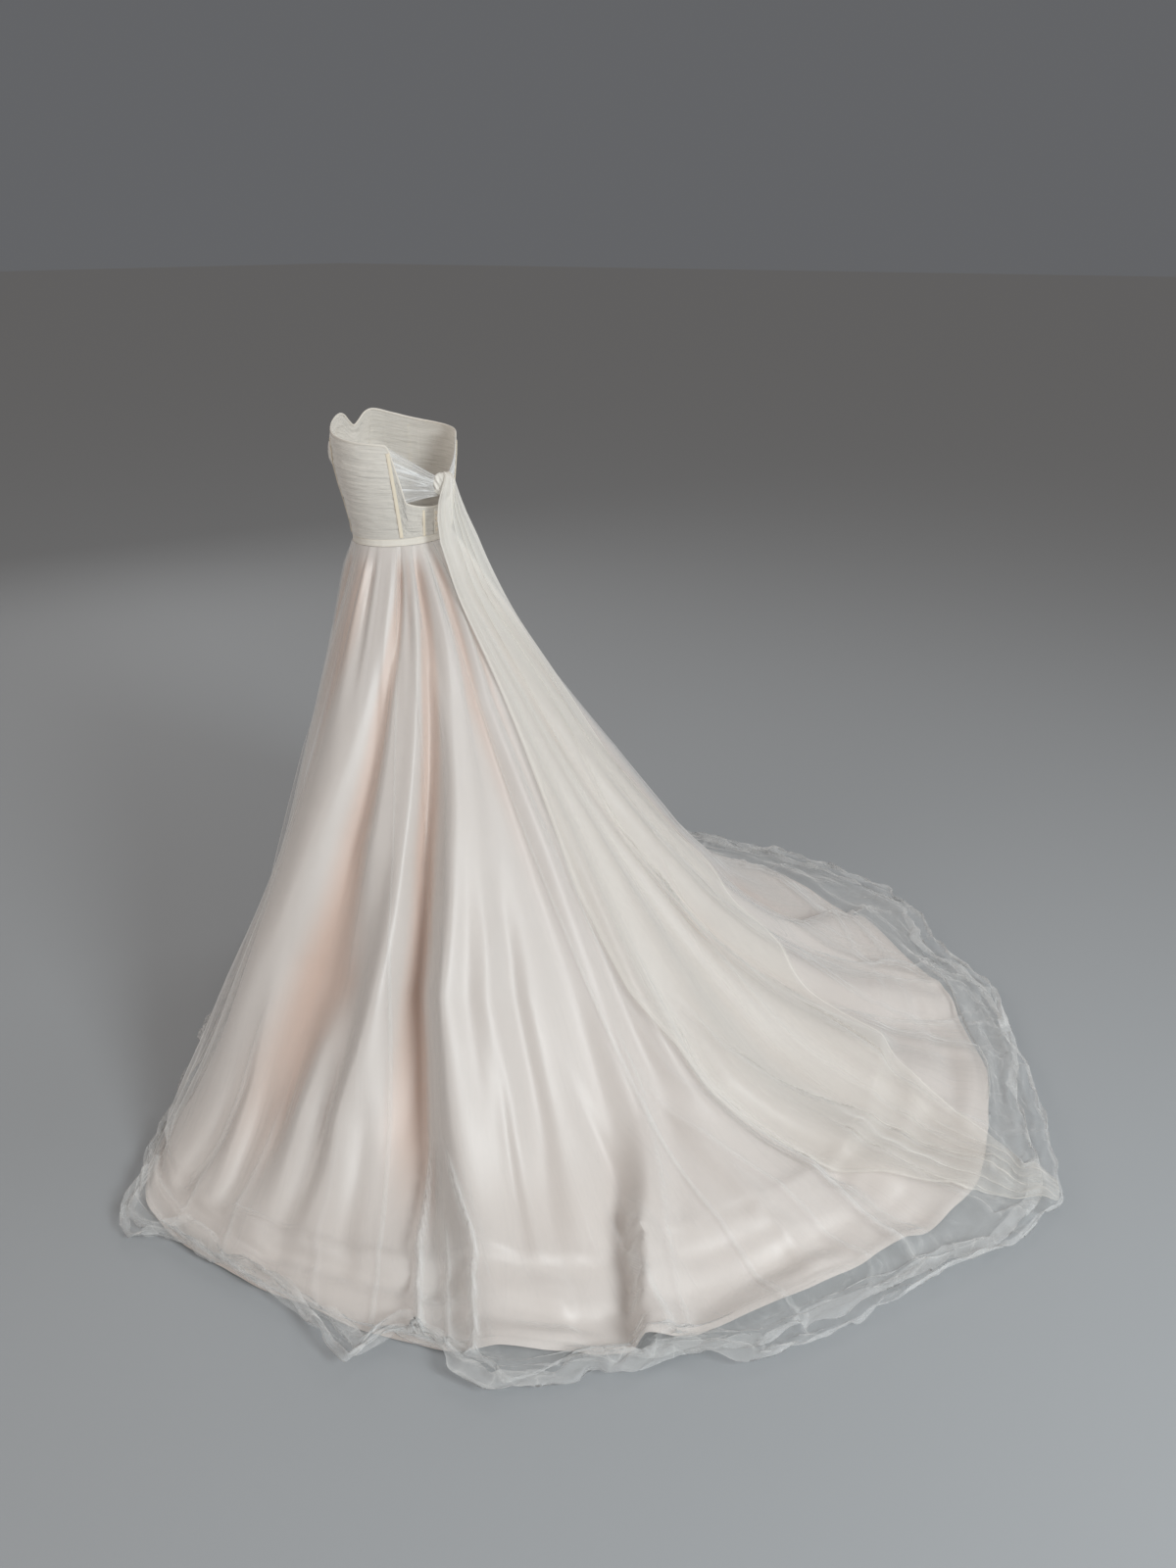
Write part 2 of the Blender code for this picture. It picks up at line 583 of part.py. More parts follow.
for side, name in ((1.0, "sash_band_left"), (-1.0, "sash_band_right")):
    # from the slanting part of the top edge, columns 13 to 17, back to the side of the knot
    start = edge[13:18] + edge_up[13:18] * (GAP + BINDING_TALL + GAP) / 1.0
    start_fine = np.stack([np.interp(np.linspace(0, 4, 7), range(5), start[:, k]) for k in range(3)], -1)
    out_fine = np.stack([np.interp(np.linspace(0, 4, 7), range(5), edge_out[13:18, k]) for k in range(3)], -1)
    end_z = np.linspace(.1360, .1000, 7)
    end = np.stack([np.full(7, KNOT_HALF[0] + GAP), np.full(7, .1150), end_z], -1)
    grid = []
    ways = []
    for w in (0.0, .14, .30, .48, .66, .84, 1.0):
        bulge = .006 * np.sin(np.pi * w)
        ways.append(out_fine * (1 - w) + np.array([.25, .97, 0.0]) * w)
        grid.append(start_fine * (1 - w) + end * w + ways[-1] * bulge)
    grid = np.array(grid)
    ways = np.array(ways)
    ways /= np.linalg.norm(ways, axis=-1, keepdims=True)
    outer = grid + ways * SASH_WALL / 2
    inner = grid - ways * SASH_WALL / 2
    flip = np.array([side, 1.0, 1.0])
    if side > 0:
        add_wall(name, (outer * flip), (inner * flip), TULLE)
    else:
        add_wall(name, (outer * flip)[::-1], (inner * flip)[::-1], TULLE)

across = np.linspace(0.0, 1.0, 7)
tail_rows = []
tail_ways = []
for z, left_x, right_x, y in HANG:
    x = left_x + (right_x - left_x) * across
    sag = (0.0 if z > .09 else .004) * np.sin(np.pi * across)
    tail_rows.append(np.stack([x, y + sag, np.full(7, z)], -1))
    tail_ways.append(np.tile(np.array([0.0, .87, .49]), (7, 1)))
columns_wrapped = np.array(SKIRT_DEG[:32])
for row, left_deg, right_deg in LIE:
    # a point on the flat facets of the overskirt, then out to bridge the folds either side
    deg = left_deg + (right_deg - left_deg) * across
    at_row = np.interp(row, SKIRT_ROWS, range(len(SKIRT_ROWS)))
    j = int(min(np.floor(at_row), len(SKIRT_ROWS) - 2))
    line = tulle_out[:32, j] + (tulle_out[:32, j + 1] - tulle_out[:32, j]) * (at_row - j)
    spot = np.stack([np.interp(deg, columns_wrapped, line[:, k]) for k in range(3)], -1)
    here = fold_rise(deg, np.full(7, row))
    reach = np.linspace(-TAIL_REACH, TAIL_REACH, 13)
    crest = fold_rise(deg[:, None] + reach[None, :], np.full((7, 13), row)).max(axis=1)
    way = base_normal(deg, np.full(7, row))
    tail_rows.append(spot + way * (np.maximum(crest - here, 0.0) + TAIL_OFF)[:, None])
    tail_ways.append(way)
for radius, left_deg, right_deg in TAIL_TIP:
    a = np.radians(left_deg + (right_deg - left_deg) * across)
    z = FLOOR_Z + np.interp(radius, (1.395, 1.455, 1.473), (.0190, .0120, .0040))
    tail_rows.append(np.stack([radius * np.cos(a), radius * np.sin(a), np.full(7, z)], -1))
    tail_ways.append(np.tile(np.array([0.0, 0.0, 1.0]), (7, 1)))
tail = np.array(tail_rows).transpose(1, 0, 2)
ways = np.array(tail_ways).transpose(1, 0, 2)
ways[:, 0] = (0.0, 1.0, 0.0)
tail_out = tail + ways * TAIL_WALL / 2
tail_in = tail - ways * TAIL_WALL / 2
add_wall("sash_tail", tail_out, tail_in, TULLE)
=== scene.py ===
import math

import bpy
import numpy as np
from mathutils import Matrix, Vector


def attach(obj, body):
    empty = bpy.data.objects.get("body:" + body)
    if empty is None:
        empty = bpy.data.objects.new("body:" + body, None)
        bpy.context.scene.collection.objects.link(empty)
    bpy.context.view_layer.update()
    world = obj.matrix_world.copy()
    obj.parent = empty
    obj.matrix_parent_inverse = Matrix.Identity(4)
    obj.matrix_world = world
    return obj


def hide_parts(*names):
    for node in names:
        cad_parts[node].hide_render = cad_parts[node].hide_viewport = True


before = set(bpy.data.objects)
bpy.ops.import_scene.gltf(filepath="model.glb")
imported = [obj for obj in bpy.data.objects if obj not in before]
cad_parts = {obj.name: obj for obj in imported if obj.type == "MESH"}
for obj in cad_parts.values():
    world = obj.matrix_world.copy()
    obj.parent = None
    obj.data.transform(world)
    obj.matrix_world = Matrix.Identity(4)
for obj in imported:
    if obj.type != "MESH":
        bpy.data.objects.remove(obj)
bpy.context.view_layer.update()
scene = bpy.context.scene

# ---- camera, floor and studio light --------------------------------------------------------
# The camera stands behind and to the left of the gown, at eye height, looking down at it.
# The floor is one pale sheet, lit softly by four broad lamps and a pale room.

FLOOR_Z = -1.10
camera_data = bpy.data.cameras.new("camera")
camera_data.lens = 27.0
camera_data.sensor_width = 36.0
camera = bpy.data.objects.new("camera", camera_data)
scene.collection.objects.link(camera)
scene.camera = camera
camera.location = (1.787, 1.664, 0.563)
tilt = math.radians(25.0)
HEADING = (-.829, -.559)
looking = Vector((HEADING[0] * math.cos(tilt), HEADING[1] * math.cos(tilt), -math.sin(tilt)))
camera.rotation_euler = looking.to_track_quat("-Z", "Y").to_euler()
scene.cycles.transparent_max_bounces = 40
scene.view_settings.view_transform = "Standard"
scene.view_settings.exposure = 0.0

floor_mesh = bpy.data.meshes.new("floor")
reach = 60.0
floor_mesh.from_pydata([(-reach, -reach, FLOOR_Z), (reach, -reach, FLOOR_Z),
                        (reach, reach, FLOOR_Z), (-reach, reach, FLOOR_Z)], [], [(0, 1, 2, 3)])
floor = bpy.data.objects.new("floor", floor_mesh)
scene.collection.objects.link(floor)
floor_mat = bpy.data.materials.new("pale_floor")
floor_mat.use_nodes = True
FLOOR_TONE = .42


def set_inputs(node, values):
    for key, value in values.items():
        node.inputs[key].default_value = value


set_inputs(floor_mat.node_tree.nodes["Principled BSDF"], {
    "Base Color": (FLOOR_TONE, FLOOR_TONE * 1.05, FLOOR_TONE * 1.10, 1.0), "Roughness": .95,
    "Specular IOR Level": 0.0})
floor_mesh.materials.append(floor_mat)

# the room lights the cloth warmly, and where the camera sees it, it is darker and cooler
ROOM_LIGHT, ROOM_SEEN = .28, .135
world = bpy.data.worlds.new("room")
scene.world = world
world.use_nodes = True
room = world.node_tree
ambient = room.nodes["Background"]
set_inputs(ambient, {"Color": (1.0, .93, .88, 1.0), "Strength": ROOM_LIGHT})
distance = room.nodes.new("ShaderNodeBackground")
set_inputs(distance, {"Color": (.93, .95, 1.0, 1.0), "Strength": ROOM_SEEN})
seen = room.nodes.new("ShaderNodeLightPath")
choose = room.nodes.new("ShaderNodeMixShader")
room.links.new(seen.outputs["Is Camera Ray"], choose.inputs["Fac"])
room.links.new(ambient.outputs["Background"], choose.inputs[1])
room.links.new(distance.outputs["Background"], choose.inputs[2])
room.links.new(choose.outputs["Shader"], room.nodes["World Output"].inputs["Surface"])


def add_light(name, where, aim, size, power, colour):
    data = bpy.data.lights.new(name, "AREA")
    data.shape = "DISK"
    data.size = size
    data.energy = power
    data.color = colour
    lamp = bpy.data.objects.new(name, data)
    scene.collection.objects.link(lamp)
    lamp.location = where
    lamp.rotation_euler = (Vector(aim) - Vector(where)).to_track_quat("-Z", "Y").to_euler()


# name, place, what it points at, width, watts, colour
add_light("key", (1.15, 3.9, 1.35), (0, .2, -.5), 1.3, 94, (.93, .985, 1.0))
add_light("fill", (3.6, -.9, 1.5), (0, .1, -.5), 2.4, 24, (1.0, .96, .92))
add_light("rim", (-2.4, 1.2, 2.6), (0, .5, -.7), 1.6, 14, (.96, .98, 1.0))
add_light("front", (-1.6, -3.4, 1.5), (0, 0, -.5), 2.2, 22, (1.0, .98, .96))

# ---- underskirt ----------------------------------------------------------------------------
# Five gores of blush satin, gathered into the waist and long enough to lie on the floor.
# It hangs in soft deep folds, and behind it runs out into the train.

SKIRT_TOP_Z = .004
WAIST_HALF = (.112, .088)
OUTLINE = np.array((
    # deg, radius where it meets the floor, satin hem, tulle hem, hollowness of the side
    (0, .765, .842, .870, 1.14), (7, .800, .892, .922, 1.16), (15, .825, .915, .955, 1.19),
    (32, .870, .998, 1.06, 1.24), (45, .915, 1.08, 1.15, 1.27), (60, .975, 1.165, 1.215, 1.31),
    (75, 1.03, 1.225, 1.325, 1.35), (90, 1.07, 1.315, 1.44, 1.40), (103, 1.06, 1.30, 1.41, 1.40),
    (117, 1.04, 1.25, 1.37, 1.34), (132, 1.00, 1.177, 1.30, 1.26), (145, .960, 1.10, 1.25, 1.20),
    (158, .900, 1.05, 1.16, 1.15), (172, .820, .930, 1.06, 1.12), (190, .700, .800, .900, 1.10),
    (210, .580, .670, .740, 1.10), (240, .480, .550, .600, 1.10), (270, .430, .500, .540, 1.10),
    (300, .420, .465, .495, 1.10), (325, .445, .490, .525, 1.10), (345, .560, .610, .640, 1.11)))
STOPS = (.05, .2, .4, .6, .8, 1.0, 2.0)
DRAPE = (
    # crests and valleys by turns: direction of the line at each of the seven stops above, then how
    # far the cloth stands out (crest) or sinks (valley) there, in millimetres
    (30, 21, 12, 5.5, -1, -6, -8, 8, 10, 12, 8, -2, 0, 2),
    (38, 30.5, 23, 18.5, 17.5, 14, 12, -12, -20, -36, -50, -34, -10, 0),
    (42, 35, 29.5, 25, 21.6, 20, 19, 2, 2, 0, -32, 6, 8, 4),
    (45, 39.5, 33.5, 28.5, 25.2, 23, 22, -4, 2, 2, -12, -14, -2, 0),
    (49, 43.5, 37.5, 32.8, 27.4, 26, 26, 8, 8, 8, 22, 16, 10, 4),
    (54, 49.5, 42.8, 39.4, 39.0, 41, 42, -14, -26, -42, -52, -44, -16, -2),
    (66, 57.5, 50.4, 45.0, 44.6, 45.6, 46.4, 10, 16, 30, 46, 48, 36, 18),
    (68, 60, 53, 49.4, 49.4, 50, 51, 6, 12, 26, 27, 30, 20, 10),
    (70, 63, 56, 51.6, 51.5, 52, 53, 4, 6, 20, 31, 26, 14, 6),
    (72.5, 65, 61, 57.2, 56.4, 54.5, 53.5, -4, -6, 2, 0, -2, 0, 0),
    (75, 67, 64, 59.4, 58.4, 56, 54.2, -6, -9, -4, 9, 7, -2, -2),
    (77.5, 69, 68.5, 67, 65, 60.6, 56.8, -10, -12, -12, -8, -10, -18, -10),
    (81, 74, 73.6, 71.6, 69.0, 62.4, 58.4, 6, 8, 8, 6, 14, 54, 46),
    (83.4, 78, 77, 75, 73.5, 67, 63, -6, -6, -6, -6, -4, 20, 14),
    (86, 83, 81, 78.4, 77.6, 81.6, 82.5, 8, 8, 10, 16, 27, 31, 18),
    (88.5, 86.5, 85, 81.6, 80.2, 84.4, 85, -4, -4, -2, -3, 0, -3, 0),
    (92, 90, 89, 86.4, 84, 87, 88, 6, 8, 10, 13, 24, 34, 21),
    (94, 93, 93, 94, 94, 95, 96, -4, -4, -10, -16, -17, -20, -12),
    (96, 95, 96, 98, 101, 104, 106, 0, 2, 2, 6, 24, 27, 15),
    (100, 99, 99, 103, 109, 112, 116, -6, -10, -20, -29, -24, -17, -12),
    (105, 105, 105, 108, 114, 118, 120, 10, 12, 18, 16, 17, 20, 15),
    (108.5, 108.5, 109.5, 112, 118.5, 125, 128, 2, 2, 0, -10, -3, 3, 3),
    (112, 112, 114, 116.5, 123.5, 132, 137, 6, 8, 10, 10, 18, 28, 22),
    (118, 118, 119, 121, 128, 136.5, 141, -8, -14, -26, -46, -54, -12, -8),
    (130, 131, 134, 138, 146, 150, 150, 2, 0, -8, -28, -24, 16, 14),
    (140, 141, 145, 149, 155, 158, 158, -14, -20, -42, -66, -66, -18, -8),
    (150, 151, 154, 157, 162, 166, 166, -2, -6, -22, -44, -40, 4, 8),
    (157, 158, 161, 163, 167, 170, 171, -12, -18, -36, -56, -52, -14, -6),
    (165, 167, 169, 171, 174, 176, 177, 2, 0, -6, -16, -14, 4, 6),
    (174, 175, 177, 178, 179, 179, 180, -8, -14, -20, -22, -20, -10, -4),
    (184, 185, 186, 187, 187, 188, 188, 10, 14, 22, 28, 26, 14, 6),
    (193, 194, 194, 195, 195, 196, 197, -10, -14, -22, -26, -22, -10, -4),
    (201, 202, 202, 203, 203, 204, 204, 8, 12, 16, 20, 20, 12, 6),
    (209, 210, 210, 211, 211, 211, 212, -10, -12, -18, -20, -18, -8, -2),
    (218, 218, 219, 219, 220, 220, 220, 10, 14, 20, 24, 22, 12, 6),
    (227, 227, 226, 226, 226, 226, 226, -8, -12, -20, -22, -18, -8, -2),
    (235, 234, 234, 233, 233, 233, 233, 8, 12, 18, 20, 18, 10, 6),
    (243, 242, 242, 241, 241, 241, 240, -10, -12, -16, -18, -16, -6, -2),
    (252, 252, 251, 251, 250, 250, 250, 10, 14, 20, 24, 22, 12, 6),
    (261, 261, 260, 260, 260, 260, 260, -8, -12, -18, -20, -16, -8, -2),
    (269, 268, 268, 268, 268, 268, 267, 8, 10, 14, 18, 16, 10, 4),
    (277, 276, 276, 276, 276, 276, 276, -8, -12, -16, -18, -14, -6, -2),
    (286, 286, 286, 287, 287, 287, 288, 10, 14, 20, 24, 22, 12, 6),
    (295, 295, 296, 296, 297, 297, 298, -10, -12, -18, -20, -16, -8, -2),
    (304, 304, 305, 305, 305, 306, 306, 8, 12, 16, 18, 18, 10, 4),
    (313, 313, 314, 314, 315, 315, 315, -8, -12, -18, -20, -18, -8, -2),
    (323, 323, 322, 322, 322, 323, 323, 6, 8, 8, 6, 6, 8, 4),
    (333, 332, 332, 331, 331, 332, 332, -10, -16, -24, -30, -28, -10, -2),
    (344, 343, 341, 339, 338, 339, 340, 2, 2, 0, -6, -8, 0, 2),
    (362, 356, 352, 348, 345, 346, 346, -8, -14, -20, -26, -26, -12, -2))
FOLDS = (
    # single folds and dents: direction at waist, two fifths down, floor, hem; start, end; rise;
    # half width; lean, where minus is steep on the side of the smaller angle
    (16, 14, 6, 5, .74, 1.4, -.020, .026, .5), (18, 14, 13, 12, .70, 1.3, -.010, .020, .4),
    (9, 9, 11, 11, .55, 1.2, .010, .030, -.5), (31, 31, 31, 32, .70, 1.6, -.012, .030, .4),
    (56, 53, 51, 52, .62, 1.2, -.010, .020, .4), (60, 60, 64, 64, .66, 1.5, -.010, .026, .3),
    (74, 74, 74, 75, .70, 2.0, .010, .026, -.4), (110, 110, 110, 110, .8, 2.1, .010, .030, -.4),
    (91, 91, 91, 91, .8, 2.0, .008, .022, -.4), (100, 100, 100, 101, .8, 2.0, .008, .022, .4),
    (124, 124, 124, 122, .7, 2.2, .012, .026, -.4), (152, 152, 152, 152, .6, 2.1, -.010, .030, .4))


def unit(way, least=0.0):
    """Directions brought to length 1."""
    return way / (np.linalg.norm(way, axis=-1, keepdims=True) + least)


def smooth_between(u, low, high, leave, arrive, span=1.0):
    """A curve from low to high as u goes from 0 to 1, with its slope at either end."""
    out = (2 * u**3 - 3 * u**2 + 1) * low + (u**3 - 2 * u**2 + u) * leave * span
    return out + (-2 * u**3 + 3 * u**2) * high + (u**3 - u**2) * arrive * span


def round_table(table, column, deg):
    """Smooth value of one column of a table whose first column is a direction, closed all round."""
    at = table[:, 0]
    val = table[:, column]
    many = len(at)
    deg = np.asarray(deg, dtype=float) % 360.0
    i = np.searchsorted(at, deg, side="right") - 1
    i = np.where(i < 0, many - 1, i)
    j = (i + 1) % many
    span = (at[j] - at[i]) % 360.0
    u = ((deg - at[i]) % 360.0) / span
    slopes = []
    for m in (i, j):
        after, before = (m + 1) % many, (m - 1) % many
        slopes.append((val[after] - val[before]) / ((at[after] - at[before]) % 360.0))
    return smooth_between(u, val[i], val[j], slopes[0], slopes[1], span)


def ease(low, high, x):
    """0 below low, 1 above high, and a soft step between them."""
    t = np.clip((x - low) / (high - low), 0.0, 1.0)
    return t * t * (3 - 2 * t)


def crumple(x, y, seed, period=4096):
    """Smooth random heights from -1 to 1 over a lattice, closed after period cells of x."""
    x, y = np.broadcast_arrays(np.asarray(x, dtype=float), np.asarray(y, dtype=float))
    tall = 61
    table = np.random.default_rng(seed).random((period, tall)) * 2 - 1
    xi = np.floor(x).astype(int)
    yi = np.floor(y).astype(int)
    fx = x - xi
    fy = y - yi
    sx = fx**3 * (fx * (fx * 6 - 15) + 10)
    sy = fy**3 * (fy * (fy * 6 - 15) + 10)
    x0, x1, y0, y1 = xi % period, (xi + 1) % period, yi % tall, (yi + 1) % tall
    low = table[x0, y0] * (1 - sx) + table[x1, y0] * sx
    high = table[x0, y1] * (1 - sx) + table[x1, y1] * sx
    return low * (1 - sy) + high * sy


def crumple_round(deg, cells, y, seed, shift=0.0):
    """The same heights over so many cells all round the skirt."""
    return crumple(deg / 360 * cells + shift, y, seed, cells)


def creased(heights):
    """Sharp ridges where smooth heights pass through 0."""
    return 1 - np.abs(heights) * 2


def skirt_flat(deg, row):
    """The skirt before it is folded: row 0 waist, 1 meets the floor, 2 satin hem, 3 tulle hem."""
    a = np.radians(deg)
    waist = 1.0 / np.sqrt((np.cos(a) / WAIST_HALF[0]) ** 2 + (np.sin(a) / WAIST_HALF[1]) ** 2)
    fall, satin, tulle, hollow = (round_table(OUTLINE, column, deg) for column in (1, 2, 3, 4))
    lain = (satin - fall) * np.clip(row - 1, 0, 1)
    radius = waist + (fall - waist) * np.clip(row, 0.0, 1.0) + lain
    # the cloth bends out onto the floor in a soft curve
    soft = np.clip(1.05 * (satin - fall) / (fall - waist), .06, .20)
    short = 1 - (radius - waist) / (fall - waist)
    above = (short + np.sqrt(short**2 + soft**2)) / (1 + np.sqrt(1 + soft**2))
    z = FLOOR_Z + (SKIRT_TOP_Z - FLOOR_Z) * above ** hollow * (1 - ease(1.0, 2.0, row))
    radius = radius + (tulle - satin) * np.clip(row - 2, 0, 1)
    return np.stack([radius * np.cos(a), radius * np.sin(a), z], -1)


def skirt_way(deg, row):
    """Outward direction of the unfolded skirt, turning slowly from sideways to upwards at the floor."""
    low = np.minimum(row, .8)
    across = skirt_flat(deg + .5, low) - skirt_flat(deg - .5, low)
    down = skirt_flat(deg, low + .08) - skirt_flat(deg, np.clip(low - .08, 0, 3))
    up = ease(.62, 1.25, row)[..., None]
    return unit(unit(np.cross(down, across)) * (1 - up) + np.array([0.0, 0.0, 1.0]) * up)


def drape(deg, row):
    """How far the cloth stands out: a smooth curve through the crests and valleys of its long folds."""
    line = np.array(DRAPE)
    at, rise = (np.array([np.interp(row[0], STOPS, one[k:k + 7]) for one in line]) for k in (0, 7))
    gap = (np.roll(at, -1, 0) - at) % 360.0
    rate = (np.roll(rise, -1, 0) - rise) / gap
    before = np.roll(rate, 1, 0)
    slope = np.where(before * rate > 0, 2 * before * rate / (before + rate + 1e-12), 0.0)
    left = np.argmin((deg[None] - at[:, None, :]) % 360.0, axis=0)
    right = (left + 1) % len(line)
    at_row = np.arange(at.shape[1])[None, :]
    wide = gap[left, at_row]
    x = np.clip(((deg - at[left, at_row]) % 360.0) / wide, 0, 1)
    out = rise[left, at_row] + (rise[right, at_row] - rise[left, at_row]) * x * x * (3 - 2 * x)
    leave, arrive = slope[left, at_row], slope[right, at_row]
    out = out + wide * (leave * (x**3 - 2 * x**2 + x) + arrive * (x**3 - x**2))
    return out * .001 * (.50 + .50 * ease(.05, .45, row))


def fold_height(deg, row):
    """Folds, gathers and unevenness: how far the cloth stands off the unfolded skirt."""
    flat = skirt_flat(deg, row)
    radius = np.hypot(flat[..., 0], flat[..., 1])
    t = np.clip(row, 0, 1)
    wander = .4 * crumple_round(deg, 40, row * 7.1, 6) * ease(.3, .8, row)
    height = drape(deg - wander, row) * ease(0, .05, row) * (1 - ease(2.0, 3.0, row))
    for top, mid, low, hem, start, end, rise, wide, lean in FOLDS:
        centre = np.interp(row, (0.0, .4, 1.0, 2.0), (top, mid, low, hem)) + wander
        off = np.radians((deg - centre + 180.0) % 360.0 - 180.0) * radius
        width = wide * (.16 + .84 * t ** .8)
        skew = np.where(off > 0, 1 - .72 * max(lean, 0), 1 - .72 * max(-lean, 0))
        fade = ease(start, start + .20, row) * (1 - ease(end - .35, end, row))
        height = height + rise * fade * np.exp(-np.abs(off / (width * skew)) ** 1.8)
    # gathers: narrow soft pleats, deepest just under the band, a few of them running on down
    turn = deg + 2.2 * crumple_round(deg, 30, row * 5, 11)
    pleats = crumple_round(turn, 46, row * 2.2, 21) + .6 * crumple_round(turn, 96, row * 3, 22)
    height += pleats * .0066 * ease(.0, .04, row) * (1 - ease(.07, .34, row))
    long_gathers = crumple_round(turn, 34, row * 1.2, 24)
    height += .0035 * long_gathers * ease(.05, .2, row) * (1 - ease(.35, .7, row))
    # slack near the floor, and soft puddling where the cloth lies on it
    height += .009 * crumple_round(deg, 30, row * 4.2, 31, 1.1 * row) * ease(.5, .95, row)
    height += .0035 * crumple_round(deg, 64, row * 6.5, 32, -1.7 * row) * ease(.65, 1.0, row)
    return height + .006 * ease(.85, 1.1, row) * (1 - ease(2.0, 2.3, row))


def skirt_form(deg, row, lift):
    """A folded skirt surface, lift outside the satin, resting on the floor."""
    deg, row = np.broadcast_arrays(deg, row)
    p = skirt_flat(deg, row) + skirt_way(deg, row) * (fold_height(deg, row) + lift)[..., None]
    # the edge of the satin isn't cut or laid quite evenly
    uneven = .006 * crumple_round(deg, 52, 0, 34) + .003 * crumple_round(deg, 130, 0, 35)
    p[..., :2] *= (1 + uneven * ease(1.6, 2.0, row))[..., None]
    # near the floor the cloth can't sink: hollows come to rest on it softly
    ground = FLOOR_Z + .0014 + np.maximum(lift, 0)
    over = p[..., 2] - ground
    p[..., 2] = ground + .5 * (over + np.sqrt(over**2 + .004**2))
    return p


def sheet_mesh(name, grid, mat, closed=False, uv=None, **marks):
    """A mesh from a grid of points (columns, rows, 3), its faces pointing out."""
    columns, rows = grid.shape[:2]
    last = columns if closed else columns - 1
    i = np.arange(last)[:, None]
    j = np.arange(rows - 1)[None, :]
    a = i * rows + j
    b = ((i + 1) % columns) * rows + j
    quads = np.stack([a, a + 1, b + 1, b], -1).reshape(-1, 4)
    mesh = bpy.data.meshes.new(name)
    mesh.vertices.add(columns * rows)
    mesh.vertices.foreach_set("co", grid.reshape(-1).astype(np.float32))
    mesh.loops.add(len(quads) * 4)
    mesh.loops.foreach_set("vertex_index", quads.reshape(-1).astype(np.int32))
    mesh.polygons.add(len(quads))
    mesh.polygons.foreach_set("loop_start", np.arange(0, len(quads) * 4, 4, dtype=np.int32))
    mesh.polygons.foreach_set("loop_total", np.full(len(quads), 4, dtype=np.int32))
    mesh.polygons.foreach_set("use_smooth", np.ones(len(quads), dtype=bool))
    if uv is not None:
        layer = mesh.uv_layers.new(name="cloth")
        corners = uv.reshape(-1, 2)[quads.reshape(-1)]
        layer.data.foreach_set("uv", corners.reshape(-1).astype(np.float32))
    for mark, value in marks.items():
        spot = mesh.attributes.new(mark, "FLOAT", "POINT")
        value = np.broadcast_to(value, grid.shape[:2])
        spot.data.foreach_set("value", value.reshape(-1).astype(np.float32))
    mesh.update(calc_edges=True)
    mesh.validate()
    mesh.materials.append(mat)
    thing = bpy.data.objects.new(name, mesh)
    scene.collection.objects.link(thing)
    return thing


def cloth_uv(grid):
    """Metres along and across a grid of points, so that a weave keeps its real size."""
    across = np.linalg.norm(np.diff(grid, axis=0), axis=-1).mean(axis=1)
    down = np.linalg.norm(np.diff(grid, axis=1), axis=-1).mean(axis=0)
    u = np.concatenate([[0], np.cumsum(across)])
    v = np.concatenate([[0], np.cumsum(down)])
    return np.stack(np.meshgrid(u, v, indexing="ij"), -1)


def finish_piece(piece, node):
    """What every piece of cloth needs: the CAD solid it stands for is hidden, and the piece is hung on its
    body.
    """
    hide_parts(node)
    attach(piece, "root")


def plain_cloth(name):
    """A new material, its node tree and its surface."""
    mat = bpy.data.materials.new(name)
    mat.use_nodes = True
    return mat, mat.node_tree, mat.node_tree.nodes["Principled BSDF"]


def add_node(tree, kind, values=(), **settings):
    """A node with its settings, and its inputs by name or number: a socket is linked, a value set."""
    node = tree.nodes.new("ShaderNode" + kind)
    for key, value in settings.items():
        setattr(node, key, value)
    for key, value in dict(values).items():
        if isinstance(value, bpy.types.NodeSocket):
            tree.links.new(value, node.inputs[key])
        else:
            node.inputs[key].default_value = value
    return node


def sum_of(tree, operation, *values):
    return add_node(tree, "Math", enumerate(values), operation=operation).outputs[0]


def make_group(name, takes, gives):
    """An empty shader group with named float or vector inputs and outputs."""
    tree = bpy.data.node_groups.new(name, "ShaderNodeTree")
    for label, kind, value in takes:
        socket = tree.interface.new_socket(label, in_out="INPUT", socket_type="NodeSocket" + kind)
        if kind == "Float":
            socket.default_value = value
    for label, kind in gives:
        tree.interface.new_socket(label, in_out="OUTPUT", socket_type="NodeSocket" + kind)
    return tree, tree.nodes.new("NodeGroupInput"), tree.nodes.new("NodeGroupOutput")


# close warp and weft threads with a slow cloudy variation, used by the satin and by the trims
weave_group, takes, gives = make_group(
    "close_weave",
    (("Cloth", "Vector", None), ("Threads", "Float", 1800.0), ("Cloud", "Float", 5.0)),
    (("Height", "Float"), ("Shade", "Float")))
cloth_place = takes.outputs["Cloth"]
weave_wide = add_node(weave_group, "VectorMath", {0: cloth_place, 1: (1.0, .22, 1.0)},
                      operation="MULTIPLY")
threads = add_node(weave_group, "TexNoise", {
    "Vector": weave_wide.outputs[0], "Scale": takes.outputs["Threads"], "Detail": 1.0},
    noise_dimensions="2D")
slub_wide = add_node(weave_group, "VectorMath", {0: cloth_place, 1: (60.0, 9.0, 1.0)},
                     operation="MULTIPLY")
slub = add_node(weave_group, "TexNoise", {
    "Vector": slub_wide.outputs[0], "Scale": 1.0, "Detail": 3.0}, noise_dimensions="2D")
cloud = add_node(weave_group, "TexNoise", {
    "Vector": cloth_place, "Scale": takes.outputs["Cloud"], "Detail": 2.0}, noise_dimensions="2D")
relief_sum = sum_of(weave_group, "MULTIPLY_ADD", slub.outputs["Fac"], .8, threads.outputs["Fac"])
weave_group.links.new(relief_sum, gives.inputs["Height"])
weave_group.links.new(cloud.outputs["Fac"], gives.inputs["Shade"])


